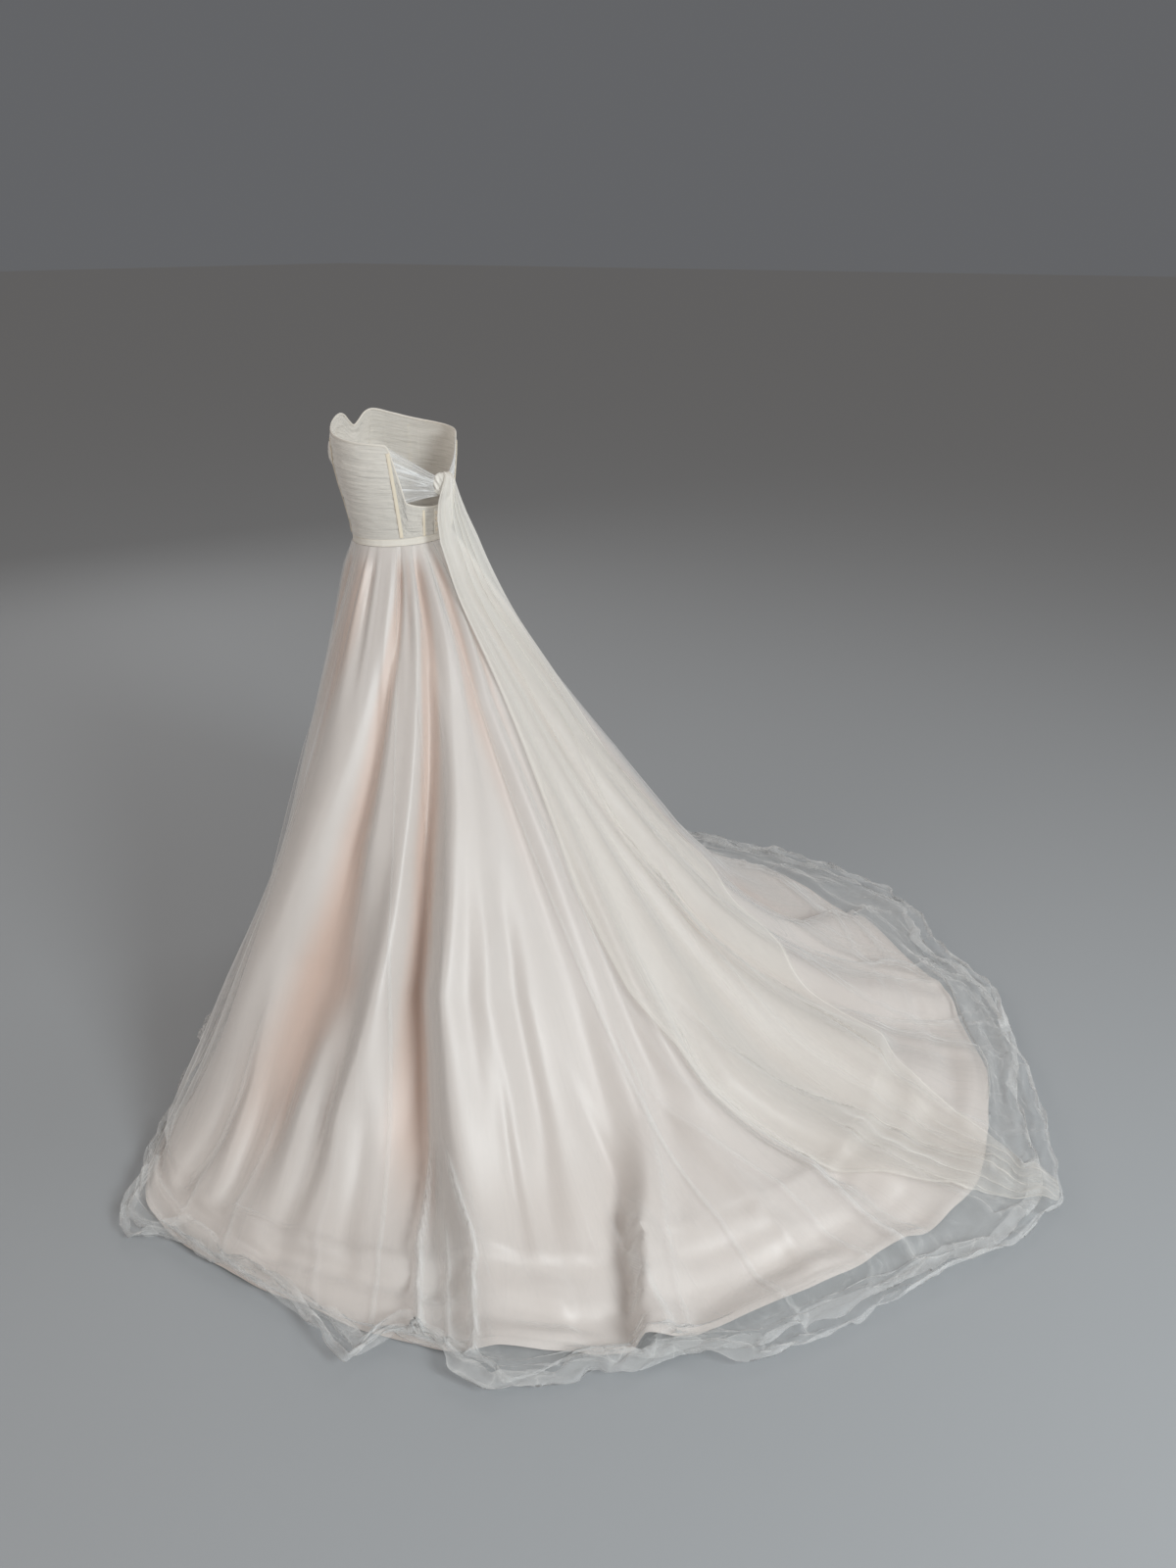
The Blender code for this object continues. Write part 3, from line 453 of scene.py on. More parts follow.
def woven(name, pale, deep, rough, metal, sheen, bump):
    """Close-woven cloth: its colour clouds between two tones, its threads catch the light."""
    mat, tree, surface = plain_cloth(name)
    cloth = add_node(tree, "UVMap", uv_map="cloth")
    weave = add_node(tree, "Group", {"Cloth": cloth.outputs["UV"]}, node_tree=weave_group)
    tone = add_node(tree, "Mix", {0: weave.outputs["Shade"], 6: (*deep, 1), 7: (*pale, 1)},
                    data_type="RGBA")
    tree.links.new(tone.outputs[2], surface.inputs["Base Color"])
    height = weave.outputs["Height"]
    dull = add_node(tree, "MapRange", {"Value": height, "To Min": rough - .05, "To Max": rough + .07})
    tree.links.new(dull.outputs["Result"], surface.inputs["Roughness"])
    relief = add_node(tree, "Bump", {"Height": height, "Strength": bump, "Distance": .0002})
    tree.links.new(relief.outputs["Normal"], surface.inputs["Normal"])
    set_inputs(surface, {"Metallic": metal, "Sheen Weight": sheen, "Sheen Roughness": .35})
    return mat


satin_mat = woven("blush_satin", (.785, .728, .694), (.735, .662, .615), .43, .0, .12, .25)
satin_look = satin_mat.node_tree
satin_paint = satin_look.nodes["Principled BSDF"]
set_inputs(satin_paint, {"IOR": 1.8, "Specular IOR Level": .7})
# painted shade: in the hollows of the folds the blush is darkened to a deeper, warmer tone, standing in for
# the light that goes from cloth to cloth there
plain_tone = satin_paint.inputs["Base Color"].links[0].from_socket
painted_shade_mark = add_node(satin_look, "Attribute", attribute_name="hollow")
painted_shade_tone = add_node(satin_look, "Mix", {
    0: painted_shade_mark.outputs["Fac"], 6: plain_tone, 7: (.74, .485, .36, 1)}, data_type="RGBA")
satin_look.links.new(painted_shade_tone.outputs[2], satin_paint.inputs["Base Color"])
SATIN_WALL = .0012


def give_wall(piece, thickness):
    """Cloth gets its thickness on the inner side, and the modifier is applied."""
    wall = piece.modifiers.new("wall", "SOLIDIFY")
    wall.thickness = thickness
    wall.offset = -1.0
    ready = piece.evaluated_get(bpy.context.evaluated_depsgraph_get())
    made = bpy.data.meshes.new_from_object(ready)
    made.set_sharp_from_angle(angle=math.radians(50))
    piece.modifiers.clear()
    spare = piece.data
    piece.data = made
    made.name = spare.name
    bpy.data.meshes.remove(spare)


SATIN_ROWS = np.concatenate([np.linspace(0, 1, 88), np.linspace(1, 2, 34)[1:]])
# name, first and last direction, degrees between columns, flat width and length of the cut, its area
SATIN_GORES = (
    ("side_left", 338.57, 390.0, .50, .95, 1.46, .63), ("back_left", 30.0, 90.0, .40, 1.33, 1.74, 1.10),
    ("back_right", 90.0, 160.0, .55, 1.55, 1.76, 1.27),
    ("side_right", 160.0, 238.57, 1.1, 1.20, 1.52, .88), ("front", 238.57, 338.57, 1.2, .95, 1.23, .71))
for name, first, last, step, wide, long, area in SATIN_GORES:
    many = int((last - first) / step)
    deg = np.linspace(first, last, many)[:, None]
    grid = skirt_form(deg, SATIN_ROWS[None, :], np.zeros((many, len(SATIN_ROWS))))
    # painted shade for the hollows of the folds, read from how far the drape sinks: the hollows are shallow
    # under the band and deep further down
    low = ease(.12, .55, SATIN_ROWS)
    depth = -drape(deg + 0 * SATIN_ROWS, SATIN_ROWS + 0 * deg)
    sunk = ease(0, 1, (depth + .0015 - .0075 * low) / (.0070 + .033 * low))
    hollow = (.58 + .22 * low) * sunk * ease(.0, .04, SATIN_ROWS) * (1 - ease(.72, 1.1, SATIN_ROWS))
    # the hollow attribute is painted shade: it darkens the satin's colour in the hollows of the folds
    gore = sheet_mesh("underskirt_" + name, grid, satin_mat, uv=cloth_uv(grid), hollow=hollow)
    give_wall(gore, SATIN_WALL)
    finish_piece(gore, "satin_" + name)

# ---- overskirt -----------------------------------------------------------------------------
# Two loose layers of ivory tulle over the satin, six gores each, a hand longer than it, so that
# a sheer crumpled edge lies all round. Each gore laps the next a few millimetres at the seam.

TULLE_HEM = np.array((
    # direction, how far out the tulle's edge lies
    (2, .925), (9, .915), (15, .915), (21, .938), (27, .985), (32, 1.066), (34, 1.090), (37, 1.045),
    (40, 1.070), (43, 1.124), (47, 1.174), (53, 1.172), (60, 1.205), (64, 1.255), (68, 1.290),
    (72, 1.305), (78, 1.335), (84, 1.392), (89, 1.435), (93, 1.465), (98, 1.430), (104, 1.405),
    (112, 1.384), (123, 1.346), (129, 1.290), (137, 1.285), (145, 1.250), (153, 1.180), (163, 1.098),
    (170, 1.065), (180, .985), (190, .900), (210, .740), (240, .600), (270, .545), (300, .495),
    (327, .530), (343, .620), (350, .690), (355, .765), (359, .840)))
TULLE_PLEATS = (
    # sharp folds in the net: direction at waist, a quarter down, half down, three quarters, floor,
    # satin hem, edge; start, end; height; half width
    (36, 31.5, 26.5, 24, 23, 23, 23, .10, .70, .005, .004),
    (45, 44.4, 42.6, 42, 42, 42, 42, .10, .62, .006, .0035),
    (57, 52, 46, 43, 43, 43, 43, .12, .80, .007, .004),
    (42, 41.4, 38.6, 36, 35, 35, 35, .36, .72, .004, .0035),
    (82, 79.4, 75, 75.5, 82, 84, 84, .16, 2.6, .006, .005),
    (84, 82, 82, 78.6, 82, 81.5, 82, .50, 2.8, .012, .007),
    (84, 84, 81.5, 84, 94, 94, 92.4, .60, 2.9, .010, .006),
    (63, 66, 71, 71, 65, 61.5, 60, .60, 2.8, .007, .005),
    (46, 46, 45, 42, 39.4, 39.6, 38, .78, 2.9, .030, .0050),
    (46, 46, 45, 42.6, 45.4, 44.4, 43.4, .80, 2.5, .028, .0045),
    (46, 46, 45, 43, 42.6, 42.2, 41, .90, 2.9, .016, .0050),
    (62, 62, 62, 60, 60.5, 60, 58, .90, 2.9, .010, .008), (69, 69, 69, 72, 77, 78, 76, .70, 2.7, .008, .006),
    (100, 97, 97, 97.5, 97.6, 96, 93.6, .50, 3.0, .008, .006),
    (106, 106, 105, 104, 102, 99, 94, .76, 3.0, .010, .006),
    (96, 95, 98, 104.5, 112, 116, 118, .40, 2.6, .008, .006),
    (112, 110, 109, 114, 119, 121, 122, .40, 2.6, .008, .006),
    (124, 120, 118, 126, 134, 138, 141, .35, 2.6, .008, .007),
    (118, 118, 118, 119, 122, 125, 121, .80, 3.0, .012, .007),
    (88, 88, 88, 88, 88, 89, 90, .90, 3.0, .009, .006),
    (128, 128, 128, 128, 128, 127, 127, .60, 2.7, .007, .006),
    (12, 12, 11, 10, 9, 9, 9, .60, 2.8, .007, .006), (19, 19, 18, 17, 16, 17, 18, .74, 2.8, .008, .006),
    (30, 30, 30, 29, 27.5, 29, 31, .74, 2.8, .007, .006), (1, 1, 1, 0, -1, -1, -1, .72, 2.8, .009, .007),
    (150, 151, 152, 153, 153, 154, 155, .40, 2.8, .007, .007),
    (170, 170, 171, 171, 171, 172, 173, .40, 2.8, .007, .007),
    (188, 188, 189, 190, 190, 190, 191, .20, 2.8, .007, .007),
    (214, 214, 213, 213, 213, 214, 215, .30, 2.8, .007, .007),
    (236, 236, 236, 235, 235, 236, 236, .20, 2.8, .006, .006),
    (259, 258, 258, 259, 259, 260, 260, .30, 2.8, .006, .006),
    (284, 284, 284, 285, 285, 285, 285, .20, 2.8, .006, .006),
    (305, 306, 306, 306, 306, 307, 307, .30, 2.8, .006, .006),
    (330, 330, 330, 331, 331, 331, 331, .20, 2.8, .006, .006),
    (344, 344, 344, 345, 345, 345, 345, .60, 2.8, .008, .007))


def tulle_pleats(deg, row, layer):
    """Height of the sharp folds above the rest of the net."""
    flat = skirt_flat(deg, np.minimum(row, 3.0))
    radius = np.hypot(flat[..., 0], flat[..., 1])
    pleats = np.zeros(deg.shape)
    stops = (0.0, .26, .5, .75, 1.0, 2.0, 3.0)
    for line in TULLE_PLEATS:
        start, end, rise, wide = line[7:]
        centre = np.interp(row, stops, line[:7]) + layer * 1.3
        centre = centre + .16 * crumple(row * 5, deg * 0 + line[0], 55) * ease(.2, .8, row)
        off = np.radians((deg - centre + 180.0) % 360.0 - 180.0) * radius
        width = wide * (.45 + .55 * np.clip(row, 0, 1)) * (1 + .8 * ease(2.2, 3.0, row))
        fade = ease(start, start + .12, row) * (1 - ease(end - .25, end + .01, row))
        pleats = np.maximum(pleats, rise * (1 - .4 * layer) * fade * np.exp(-np.abs(off / width) ** 1.3))
    return pleats


def tulle_stand(deg, row, layer):
    """How far the net floats off the satin: softly, in sharp pleats and in fine wrinkles."""
    away = (deg + 180) % 360 - 180
    stand = .0035 + .0040 * ease(.1, .7, row) + .003 * layer
    stand = stand + .022 * np.exp(-((away + 14) / 16) ** 2) * ease(.45, .8, row) * (1 - ease(.95, 1.2, row))
    stand = stand + .0065 * (1 + crumple_round(deg, 26, row * 2.4, 40 + layer)) * ease(.3, .8, row)
    turn = deg + 1.5 * crumple_round(deg, 60, row * 6.0, 41 + layer) * ease(.5, 1.2, row)
    wide = creased(crumple_round(turn, 90, row * 2.2, 42 + layer))
    narrow = creased(crumple_round(turn, 230, row * 5.0, 43 + layer))
    fine = (.0030 * wide + .0007 * narrow) * ease(.25, 1.0, row)
    return stand + tulle_pleats(deg, row, layer) + fine


def tulle_form(deg, row, layer):
    """Tulle over the satin: it bridges hollows, crumples along its hem and turns back at the edge."""
    deg, row = np.broadcast_arrays(deg, row)
    lower = np.minimum(row, 3.0)
    hem = lower - 2.0
    p = skirt_form(deg, lower, np.zeros(deg.shape))
    p = p + skirt_way(deg, lower) * tulle_stand(deg, lower, layer)[..., None]
    # past the satin: out to the tulle's own edge, then back over itself where it has curled
    edge = round_table(TULLE_HEM, 1, deg)
    satin_edge = round_table(OUTLINE, 2, deg)
    uneven = .012 * crumple_round(deg, 70, 0, 44 + layer) + .008 * crumple_round(deg, 190, 0, 45 + layer)
    reach_out = satin_edge + (edge - .024 * layer + uneven - satin_edge) * np.clip(hem, 0, 1)
    curled = .030 * np.clip(.35 + crumple_round(deg, 54, 0, 51 + layer), .12, 1)
    turned = np.clip((row - 3.0) / .3, 0, 1)
    reach_out = reach_out - curled * turned
    sway = (1.1 * crumple_round(deg, 90, row * 4, 46 + layer)
            + .35 * crumple_round(deg, 240, row * 9, 52 + layer)) * ease(2.0, 2.6, row)
    a = np.radians(deg + sway)
    past = hem > 0
    p[..., 0] = np.where(past, reach_out * np.cos(a), p[..., 0])
    p[..., 1] = np.where(past, reach_out * np.sin(a), p[..., 1])
    swell = ease(1.8, 2.4, row) * (1 - .4 * ease(2.6, 3.0, row))
    heap = .5 + .5 * crumple_round(deg, 80, row * 3.2, 47 + layer)
    ridge = creased(crumple_round(deg, 96, row * 4, 48 + layer, .8 * row))
    sharp = np.clip(1 - np.abs(crumple_round(deg, 130, row * 3, 53 + layer, -.9 * row)) * 3.6, 0, 1)
    fine = creased(crumple_round(deg, 240, row * 7, 49 + layer, -1.3 * row))
    p[..., 2] += swell * (.012 * heap**2 + .0075 * ridge * heap + .0100 * sharp * heap + .0014 * fine)
    roll = ease(2.75, 3.0, row)
    p[..., 2] += roll * .008 * (crumple_round(deg, 240, row * 14, 50 + layer) + .5)
    p[..., 2] += (.003 + .006 * heap) * np.sin(np.pi * np.clip(turned, 0, 1) * .75) * (row > 3.0)
    p[..., 2] = np.maximum(p[..., 2], FLOOR_Z + .0014 + .001 * layer)
    return p


def tulle_marks(deg, row, layer):
    """Where the net is drawn into long creases, where it is crumpled, and where it lies double."""
    back = np.exp(-((deg - 100) / 26.0) ** 2)
    deg, row = np.broadcast_arrays(deg, row)
    folded = np.clip(tulle_pleats(deg, row, layer) / .012, 0, 1) ** 1.7 * (1 - .6 * layer)
    bunch = ease(38.6, 39.8, deg) * (1 - ease(44.8, 45.8, deg))
    bunch = bunch * ease(.84, 1.0, row) * (1 - ease(2.2, 2.7, row))
    rolled = ease(2.92, 2.98, row) * (.25 + .5 * np.clip(crumple(deg / 4, row, 56) * 2, 0, 1))
    crease = .05 + .07 * ease(.5, 1.0, row) + .03 * back * ease(.4, 1.0, row)
    return {"crease": crease - .06 * ease(2.0, 2.5, row),
            "crumpled": .22 * ease(1.95, 2.2, row) + .08 * ease(.9, 1.3, row),
            "doubled": np.maximum(np.maximum(folded, .32 * bunch), .8 * rolled)}


# hexagonal net seen as a share of thread, with long pressed creases where more of it gathers
net_group, takes, gives = make_group(
    "fine_net", (("Cloth", "Vector", None), ("Turned", "Float", 0.0), ("Thread", "Float", .15),
                 ("Creasing", "Float", .3), ("Crumpling", "Float", 0.0), ("Doubled", "Float", 0.0),
                 ("Mesh", "Float", 620.0)), (("Cover", "Float"), ("Height", "Float")))
cloth_place = takes.outputs["Cloth"]
hexes = add_node(net_group, "TexVoronoi", {
    "Vector": cloth_place, "Scale": takes.outputs["Mesh"], "Randomness": .25},
    voronoi_dimensions="2D", feature="DISTANCE_TO_EDGE")
strand = add_node(net_group, "MapRange", {
    "Value": hexes.outputs["Distance"], "From Min": .04, "From Max": .22, "To Min": 1.28, "To Max": .86})


def net_sum(operation, *values):
    return sum_of(net_group, operation, *values)


# long creases, crumples and fine pulled threads: how each stretches over the cloth, how sharp it is
parts = []
for stretch, sharp in (((15.0, 1.1, 1.0), 22.0), ((13.0, 6.5, 1.0), 20.0), ((44.0, 2.2, 1.0), 14.0)):
    drawn = add_node(net_group, "VectorMath", {0: cloth_place, 1: stretch}, operation="MULTIPLY")
    noise = add_node(net_group, "TexNoise", {
        "Vector": drawn.outputs[0], "Scale": 1.0, "Detail": 1.0, "Distortion": .4}, noise_dimensions="2D")
    centred = net_sum("ABSOLUTE", net_sum("SUBTRACT", noise.outputs["Fac"], .5))
    ridge = net_sum("MAXIMUM", net_sum("MULTIPLY_ADD", centred, -6.0, 1.0), 0.0)
    parts.append(net_sum("POWER", ridge, sharp))
drawn = net_sum("MULTIPLY", net_sum("MULTIPLY_ADD", parts[2], .6, parts[0]), takes.outputs["Creasing"])
pressed = net_sum("MULTIPLY_ADD", parts[1], takes.outputs["Crumpling"], drawn)
share = net_sum("MULTIPLY", net_sum("MULTIPLY_ADD", pressed, 2.6, 1.0), takes.outputs["Thread"])
share = net_sum("MULTIPLY", share, strand.outputs["Result"])
share = net_sum("MULTIPLY", share, net_sum("MULTIPLY_ADD", takes.outputs["Doubled"], 2.4, 1.0))
slant = net_sum("MAXIMUM", net_sum("SUBTRACT", 1.0, takes.outputs["Turned"]), .07)
gaps = net_sum("POWER", net_sum("MAXIMUM", net_sum("SUBTRACT", 1.0, share), .02),
               net_sum("DIVIDE", 1.0, slant))
net_group.links.new(net_sum("SUBTRACT", 1.0, gaps), gives.inputs["Cover"])
net_group.links.new(net_sum("MULTIPLY_ADD", pressed, 2.0, strand.outputs["Result"]), gives.inputs["Height"])


def netted(name, colour, thread, sheen, rough=.75):
    """Sheer net: how much it hides grows as it turns away from the eye and along its creases."""
    mat, tree, surface = plain_cloth(name)
    cloth = add_node(tree, "UVMap", uv_map="cloth")
    marks = [add_node(tree, "Attribute", attribute_name=mark).outputs["Fac"]
             for mark in ("crease", "crumpled", "doubled")]
    facing = add_node(tree, "LayerWeight", {"Blend": .5})
    net = add_node(tree, "Group", {
        "Cloth": cloth.outputs["UV"], "Turned": facing.outputs["Facing"], "Thread": thread,
        "Creasing": marks[0], "Crumpling": marks[1], "Doubled": marks[2]}, node_tree=net_group)
    tree.links.new(net.outputs["Cover"], surface.inputs["Alpha"])
    relief = add_node(tree, "Bump", {
        "Height": net.outputs["Height"], "Strength": .35, "Distance": .0006})
    tree.links.new(relief.outputs["Normal"], surface.inputs["Normal"])
    tint = add_node(tree, "TexNoise", {"Vector": cloth.outputs["UV"], "Scale": 3.0},
                    noise_dimensions="2D")
    darker = [c * .96 for c in colour]
    tone = add_node(tree, "Mix", {0: tint.outputs["Fac"], 6: (*darker, 1), 7: (*colour, 1)},
                    data_type="RGBA")
    tree.links.new(tone.outputs[2], surface.inputs["Base Color"])
    set_inputs(surface, {"Roughness": rough, "Sheen Weight": sheen})
    return mat


tulle_mat = netted("ivory_tulle", (.93, .935, .93), .095, .30)


def tulle_rows(fall, lain, edge, back):
    """Rows down the net: from waist to floor, to the satin's hem, to the edge, and turned back."""
    return np.concatenate([np.linspace(0, 1, fall), np.linspace(1, 2, lain)[1:],
                           np.linspace(2, 3, edge)[1:], np.linspace(3, 3.3, back)[1:]])


OUTER_ROWS = tulle_rows(74, 44, 36, 8)
INNER_ROWS = tulle_rows(50, 26, 22, 6)
# name, first and last direction, degrees between columns, flat width and length of the cut, its area
TULLE_GORES = (
    ("side_left", 331.1, 395.25, .28, 1.30, 1.66, .89), ("back_left", 34.75, 70.25, .26, .90, 1.83, .78),
    ("back_middle", 69.75, 115.25, .26, 1.25, 1.97, 1.10),
    ("back_right", 114.75, 167.4, .32, 1.35, 1.89, 1.08),
    ("side_right", 166.9, 245.95, .52, 1.40, 1.64, 1.01), ("front", 245.45, 331.7, .58, 1.10, 1.34, .69))
for name, first, last, step, wide, long, area in TULLE_GORES:
    for layer, rows in ((0, OUTER_ROWS), (1, INNER_ROWS)):
        many = int((last - first) % 360 / step / (1 + layer))
        deg = np.linspace(first, last, many)[:, None]
        grid = tulle_form(deg, rows[None, :], layer)
        if layer:
            # the under layer lies between the satin and the outer one
            satin = skirt_form(deg, np.minimum(rows, 2.0)[None, :], np.zeros((many, len(rows))))
            outer = tulle_form(deg, rows[None, :], 0)
            share = .45
            under = grid.copy()
            under[..., 2] = np.minimum(grid[..., 2], outer[..., 2])
            grid = np.where(rows[None, :, None] < 2.0, satin * (1 - share) + outer * share, under)
        title = ("overskirt_", "overskirt_under_")[layer] + name
        gore = sheet_mesh(title, grid, tulle_mat, uv=cloth_uv(grid) + layer * 3.7,
                          **tulle_marks(deg, rows[None, :], layer))
        finish_piece(gore, "tulle_" + name)

# ---- bodice --------------------------------------------------------------------------------
# Seven panels of ruched mesh, cut low across the back and high at the sides, with two soft cups.
# Each panel is a doubled sheer layer, drawn into fine crosswise gathers between its seams.

BODICE_FOOT = .0194
BODY = np.array((
    # height, half width, depth in front, depth behind
    (.000, .1120, .0880, .0880), (.040, .1145, .0905, .0890), (.080, .1225, .0980, .0910),
    (.120, .1310, .1080, .0940), (.160, .1370, .1150, .0970), (.200, .1390, .1160, .0990),
    (.250, .1380, .1120, .1000)))
EDGE = np.array((
    # pattern columns from centre front to centre back: direction at the foot and at the top, top height
    (270.0, 270.0, .212), (277.0, 277.0, .221), (284.5, 284.5, .235), (292.0, 292.0, .240),
    (300.0, 300.0, .238), (309.0, 309.0, .232), (318.5, 318.5, .226), (328.0, 328.0, .220),
    (338.0, 338.0, .215), (350.0, 349.0, .211), (363.0, 360.0, .208), (376.0, 371.0, .205),
    (388.5, 382.0, .203), (401.0, 393.0, .200), (403.0, 396.5, .172), (405.0, 400.0, .144),
    (407.5, 403.5, .116), (410.5, 407.0, .088), (416.0, 414.0, .082), (423.0, 422.0, .078),
    (430.0, 430.0, .075), (440.0, 440.0, .073), (450.0, 450.0, .072)))
CORNERS = (13, 17)
CENTRE_BACK = 22
ALL_ROUND = 2 * CENTRE_BACK


def body(deg, z):
    """Outer face of the smooth bodice."""
    half, front, back = (np.interp(z, BODY[:, 0], BODY[:, k]) for k in (1, 2, 3))
    a = np.radians(deg)
    depth = np.where(np.sin(a) < 0, front, back)
    radius = 1 / np.sqrt((np.cos(a) / half) ** 2 + (np.sin(a) / depth) ** 2)
    cup_out, cup_half_angle, cup_height, cup_half_height = .018, 17.0, .168, .042
    for cup in (241.0, 299.0):
        off = (deg - cup + 180) % 360 - 180
        bulge = np.exp(-(off / cup_half_angle) ** 2 - ((z - cup_height) / cup_half_height) ** 2)
        radius = radius + cup_out * bulge
    return np.stack([radius * np.cos(a), radius * np.sin(a), z + 0 * radius], -1)


def pattern(column, count):
    """A value of EDGE between two pattern columns, smooth but for the two corners of the low back."""
    val = EDGE[:, column]
    i = np.clip(np.floor(count).astype(int), 0, CENTRE_BACK - 1)
    u = count - i
    steps = np.diff(val)
    middle = np.concatenate([[steps[0]], (steps[1:] + steps[:-1]) / 2, [steps[-1]]])
    if column == 2:
        middle[[0, -1]] = 0
    leave, arrive = middle[:-1].copy(), middle[1:].copy()
    for corner in CORNERS:
        leave[corner] = steps[corner]
        arrive[corner - 1] = steps[corner - 1]
    return smooth_between(u, val[i], val[i + 1], leave[i], arrive[i])


def bodice_face(count, share):
    """Point of the smooth bodice: count 0 centre front, 22 centre back, 44 front again; share up."""
    count, share = np.broadcast_arrays(np.asarray(count, dtype=float) % ALL_ROUND,
                                       np.asarray(share, dtype=float))
    half = np.where(count > CENTRE_BACK, ALL_ROUND - count, count)
    foot, head, top = (pattern(k, half) for k in (0, 1, 2))
    p = body(foot + (head - foot) * share, BODICE_FOOT + (top - BODICE_FOOT) * share)
    p[..., 0] *= np.where(count > CENTRE_BACK, -1.0, 1.0)
    return p


def bodice_way(count, share):
    """Outward direction of the smooth bodice."""
    across = bodice_face(count + .15, share) - bodice_face(count - .15, share)
    upward = bodice_face(count, share + .02) - bodice_face(count, share - .02)
    return unit(np.cross(across, upward))


def ruched_face(count, share):
    """The bodice with its crosswise gathers, which die out at the top and at the waist."""
    p = bodice_face(count, share)
    z = p[..., 2]
    turn = np.asarray(count, dtype=float) + 0 * z
    fine = creased(crumple(turn * .7, z / .0062 + .8 * crumple(turn * .5, z * 20, 71), 72))
    soft = crumple(turn * .40, z / .011, 73)
    calm = ease(0, .05, share) * (1 - ease(.94, 1.0, share))
    return p + bodice_way(count, share) * ((.00080 * fine + .0010 * soft) * calm + .0006)[..., None]


def ruched(name, colour, thread):
    """Doubled mesh drawn into close crosswise gathers."""
    mat = netted(name, colour, thread, .25, .7)
    tree = mat.node_tree
    surface = tree.nodes["Principled BSDF"]
    cloth = next(node for node in tree.nodes if node.type == "UVMAP")
    drawn = add_node(tree, "VectorMath", {0: cloth.outputs["UV"], 1: (11.0, 210.0, 1.0)},
                     operation="MULTIPLY")
    gathers = add_node(tree, "TexNoise", {
        "Vector": drawn.outputs[0], "Scale": 1.0, "Detail": 2.0, "Distortion": .6},
        noise_dimensions="2D")
    relief = add_node(tree, "Bump", {
        "Height": gathers.outputs["Fac"], "Strength": 1.0, "Distance": .0022,
        "Normal": surface.inputs["Normal"].links[0].from_socket})
    tree.links.new(relief.outputs["Normal"], surface.inputs["Normal"])
    return mat


mesh_mat = ruched("ruched_mesh", (.965, .925, .86), .60)
BODICE_WALL = .0010
# name, first and last pattern column
BODICE_PANELS = (
    ("front", -3, 3), ("front_side_left", 3, 7), ("side_left", 7, 13), ("back_left", 13, CENTRE_BACK),
    ("back_right", CENTRE_BACK, 31), ("side_right", 31, 37), ("front_side_right", 37, 41))
for name, first, last in BODICE_PANELS:
    count = np.linspace(first, last, (last - first) * 6 + 1)[:, None]
    share = np.linspace(1, 0, 84)[None, :]
    grid = ruched_face(count, share)
    panel = sheet_mesh("bodice_panel_" + name, grid, mesh_mat, uv=cloth_uv(grid) + first * .21, crease=.03)
    give_wall(panel, BODICE_WALL)
    finish_piece(panel, "bodice_" + name)

# ---- boning channels, top binding and waistband --------------------------------------------
# Flat cream casings are stitched over the seams and down the back, each holding a bone.
# A narrow bias strip binds the top edge, and a folded band covers the gathered waist.

trim_mat = woven("cream_casing", (.95, .86, .71), (.91, .80, .62), .55, 0.0, .25, .5)
edging_mat = woven("ivory_binding", (.91, .865, .79), (.87, .815, .73), .55, 0.0, .3, .5)


def round_mesh(name, sections, mat, closed):
    """A solid through closed sections (count, around, 3): a ring, or a bar with two ends."""
    many, around = sections.shape[:2]
    last = many if closed else many - 1
    i = np.arange(last)[:, None]
    k = np.arange(around)[None, :]
    a = i * around + k
    b = i * around + (k + 1) % around
    c = ((i + 1) % many) * around + (k + 1) % around
    d = ((i + 1) % many) * around + k
    faces = np.stack([a, b, c, d], -1).reshape(-1, 4)
    p = sections.reshape(-1, 3)
    q = p[faces]
    turned = np.cross(q[:, 1], q[:, 2]) + np.cross(q[:, 2], q[:, 3])
    inside = np.einsum("ij,ij->i", q[:, 0], turned).sum()
    faces = faces.tolist()
    if not closed:
        faces.append(list(range(around))[::-1])
        faces.append([(many - 1) * around + m for m in range(around)])
    if inside < 0:
        faces = [face[::-1] for face in faces]
    mesh = bpy.data.meshes.new(name)
    mesh.from_pydata(p.tolist(), [], faces)
    mesh.polygons.foreach_set("use_smooth", np.ones(len(mesh.polygons), dtype=bool))
    along = np.concatenate([[0], np.cumsum(np.linalg.norm(np.diff(sections[:, 0], axis=0), axis=-1))])
    girth = np.concatenate([[0], np.cumsum(np.linalg.norm(np.diff(sections[0], axis=0), axis=-1))])
    spot = np.stack(np.meshgrid(along, girth, indexing="ij"), -1)[..., ::-1].reshape(-1, 2)
    corners = np.empty(len(mesh.loops), dtype=np.int32)
    mesh.loops.foreach_get("vertex_index", corners)
    mesh.uv_layers.new(name="cloth").data.foreach_set("uv", spot[corners].reshape(-1).astype(np.float32))
    mesh.update()
    mesh.materials.append(mat)
    thing = bpy.data.objects.new(name, mesh)
    scene.collection.objects.link(thing)
    return thing


# across as a share of the half width, and height over the seam
CASING_OUTLINE = ((-1.0, -.0002), (-1.0, .00045), (-.8, .0007), (-.4, .00125), (0.0, .0014),
                  (.4, .00125), (.8, .0007), (1.0, .00045), (1.0, -.0002))
stitch_lines = []


def casing(name, node, count, half, low, high, outline, mat, rows=60):
    """A casing laid on one pattern column, with a line of stitching along each side."""
    share = np.linspace(low, high, rows)
    line = bodice_face(np.full(rows, float(count)), share)
    way = bodice_way(np.full(rows, float(count)), share)
    side = unit(np.cross(np.gradient(line, axis=0), way))
    sections = np.stack([line + side * (half * x) + way * (y + .0014) for x, y in outline], 1)
    for x in (-.8, .8):
        stitch_lines.append(line[1:-1] + side[1:-1] * (half * x) + way[1:-1] * .00235)
    finish_piece(round_mesh(name, sections, mat, False), node)


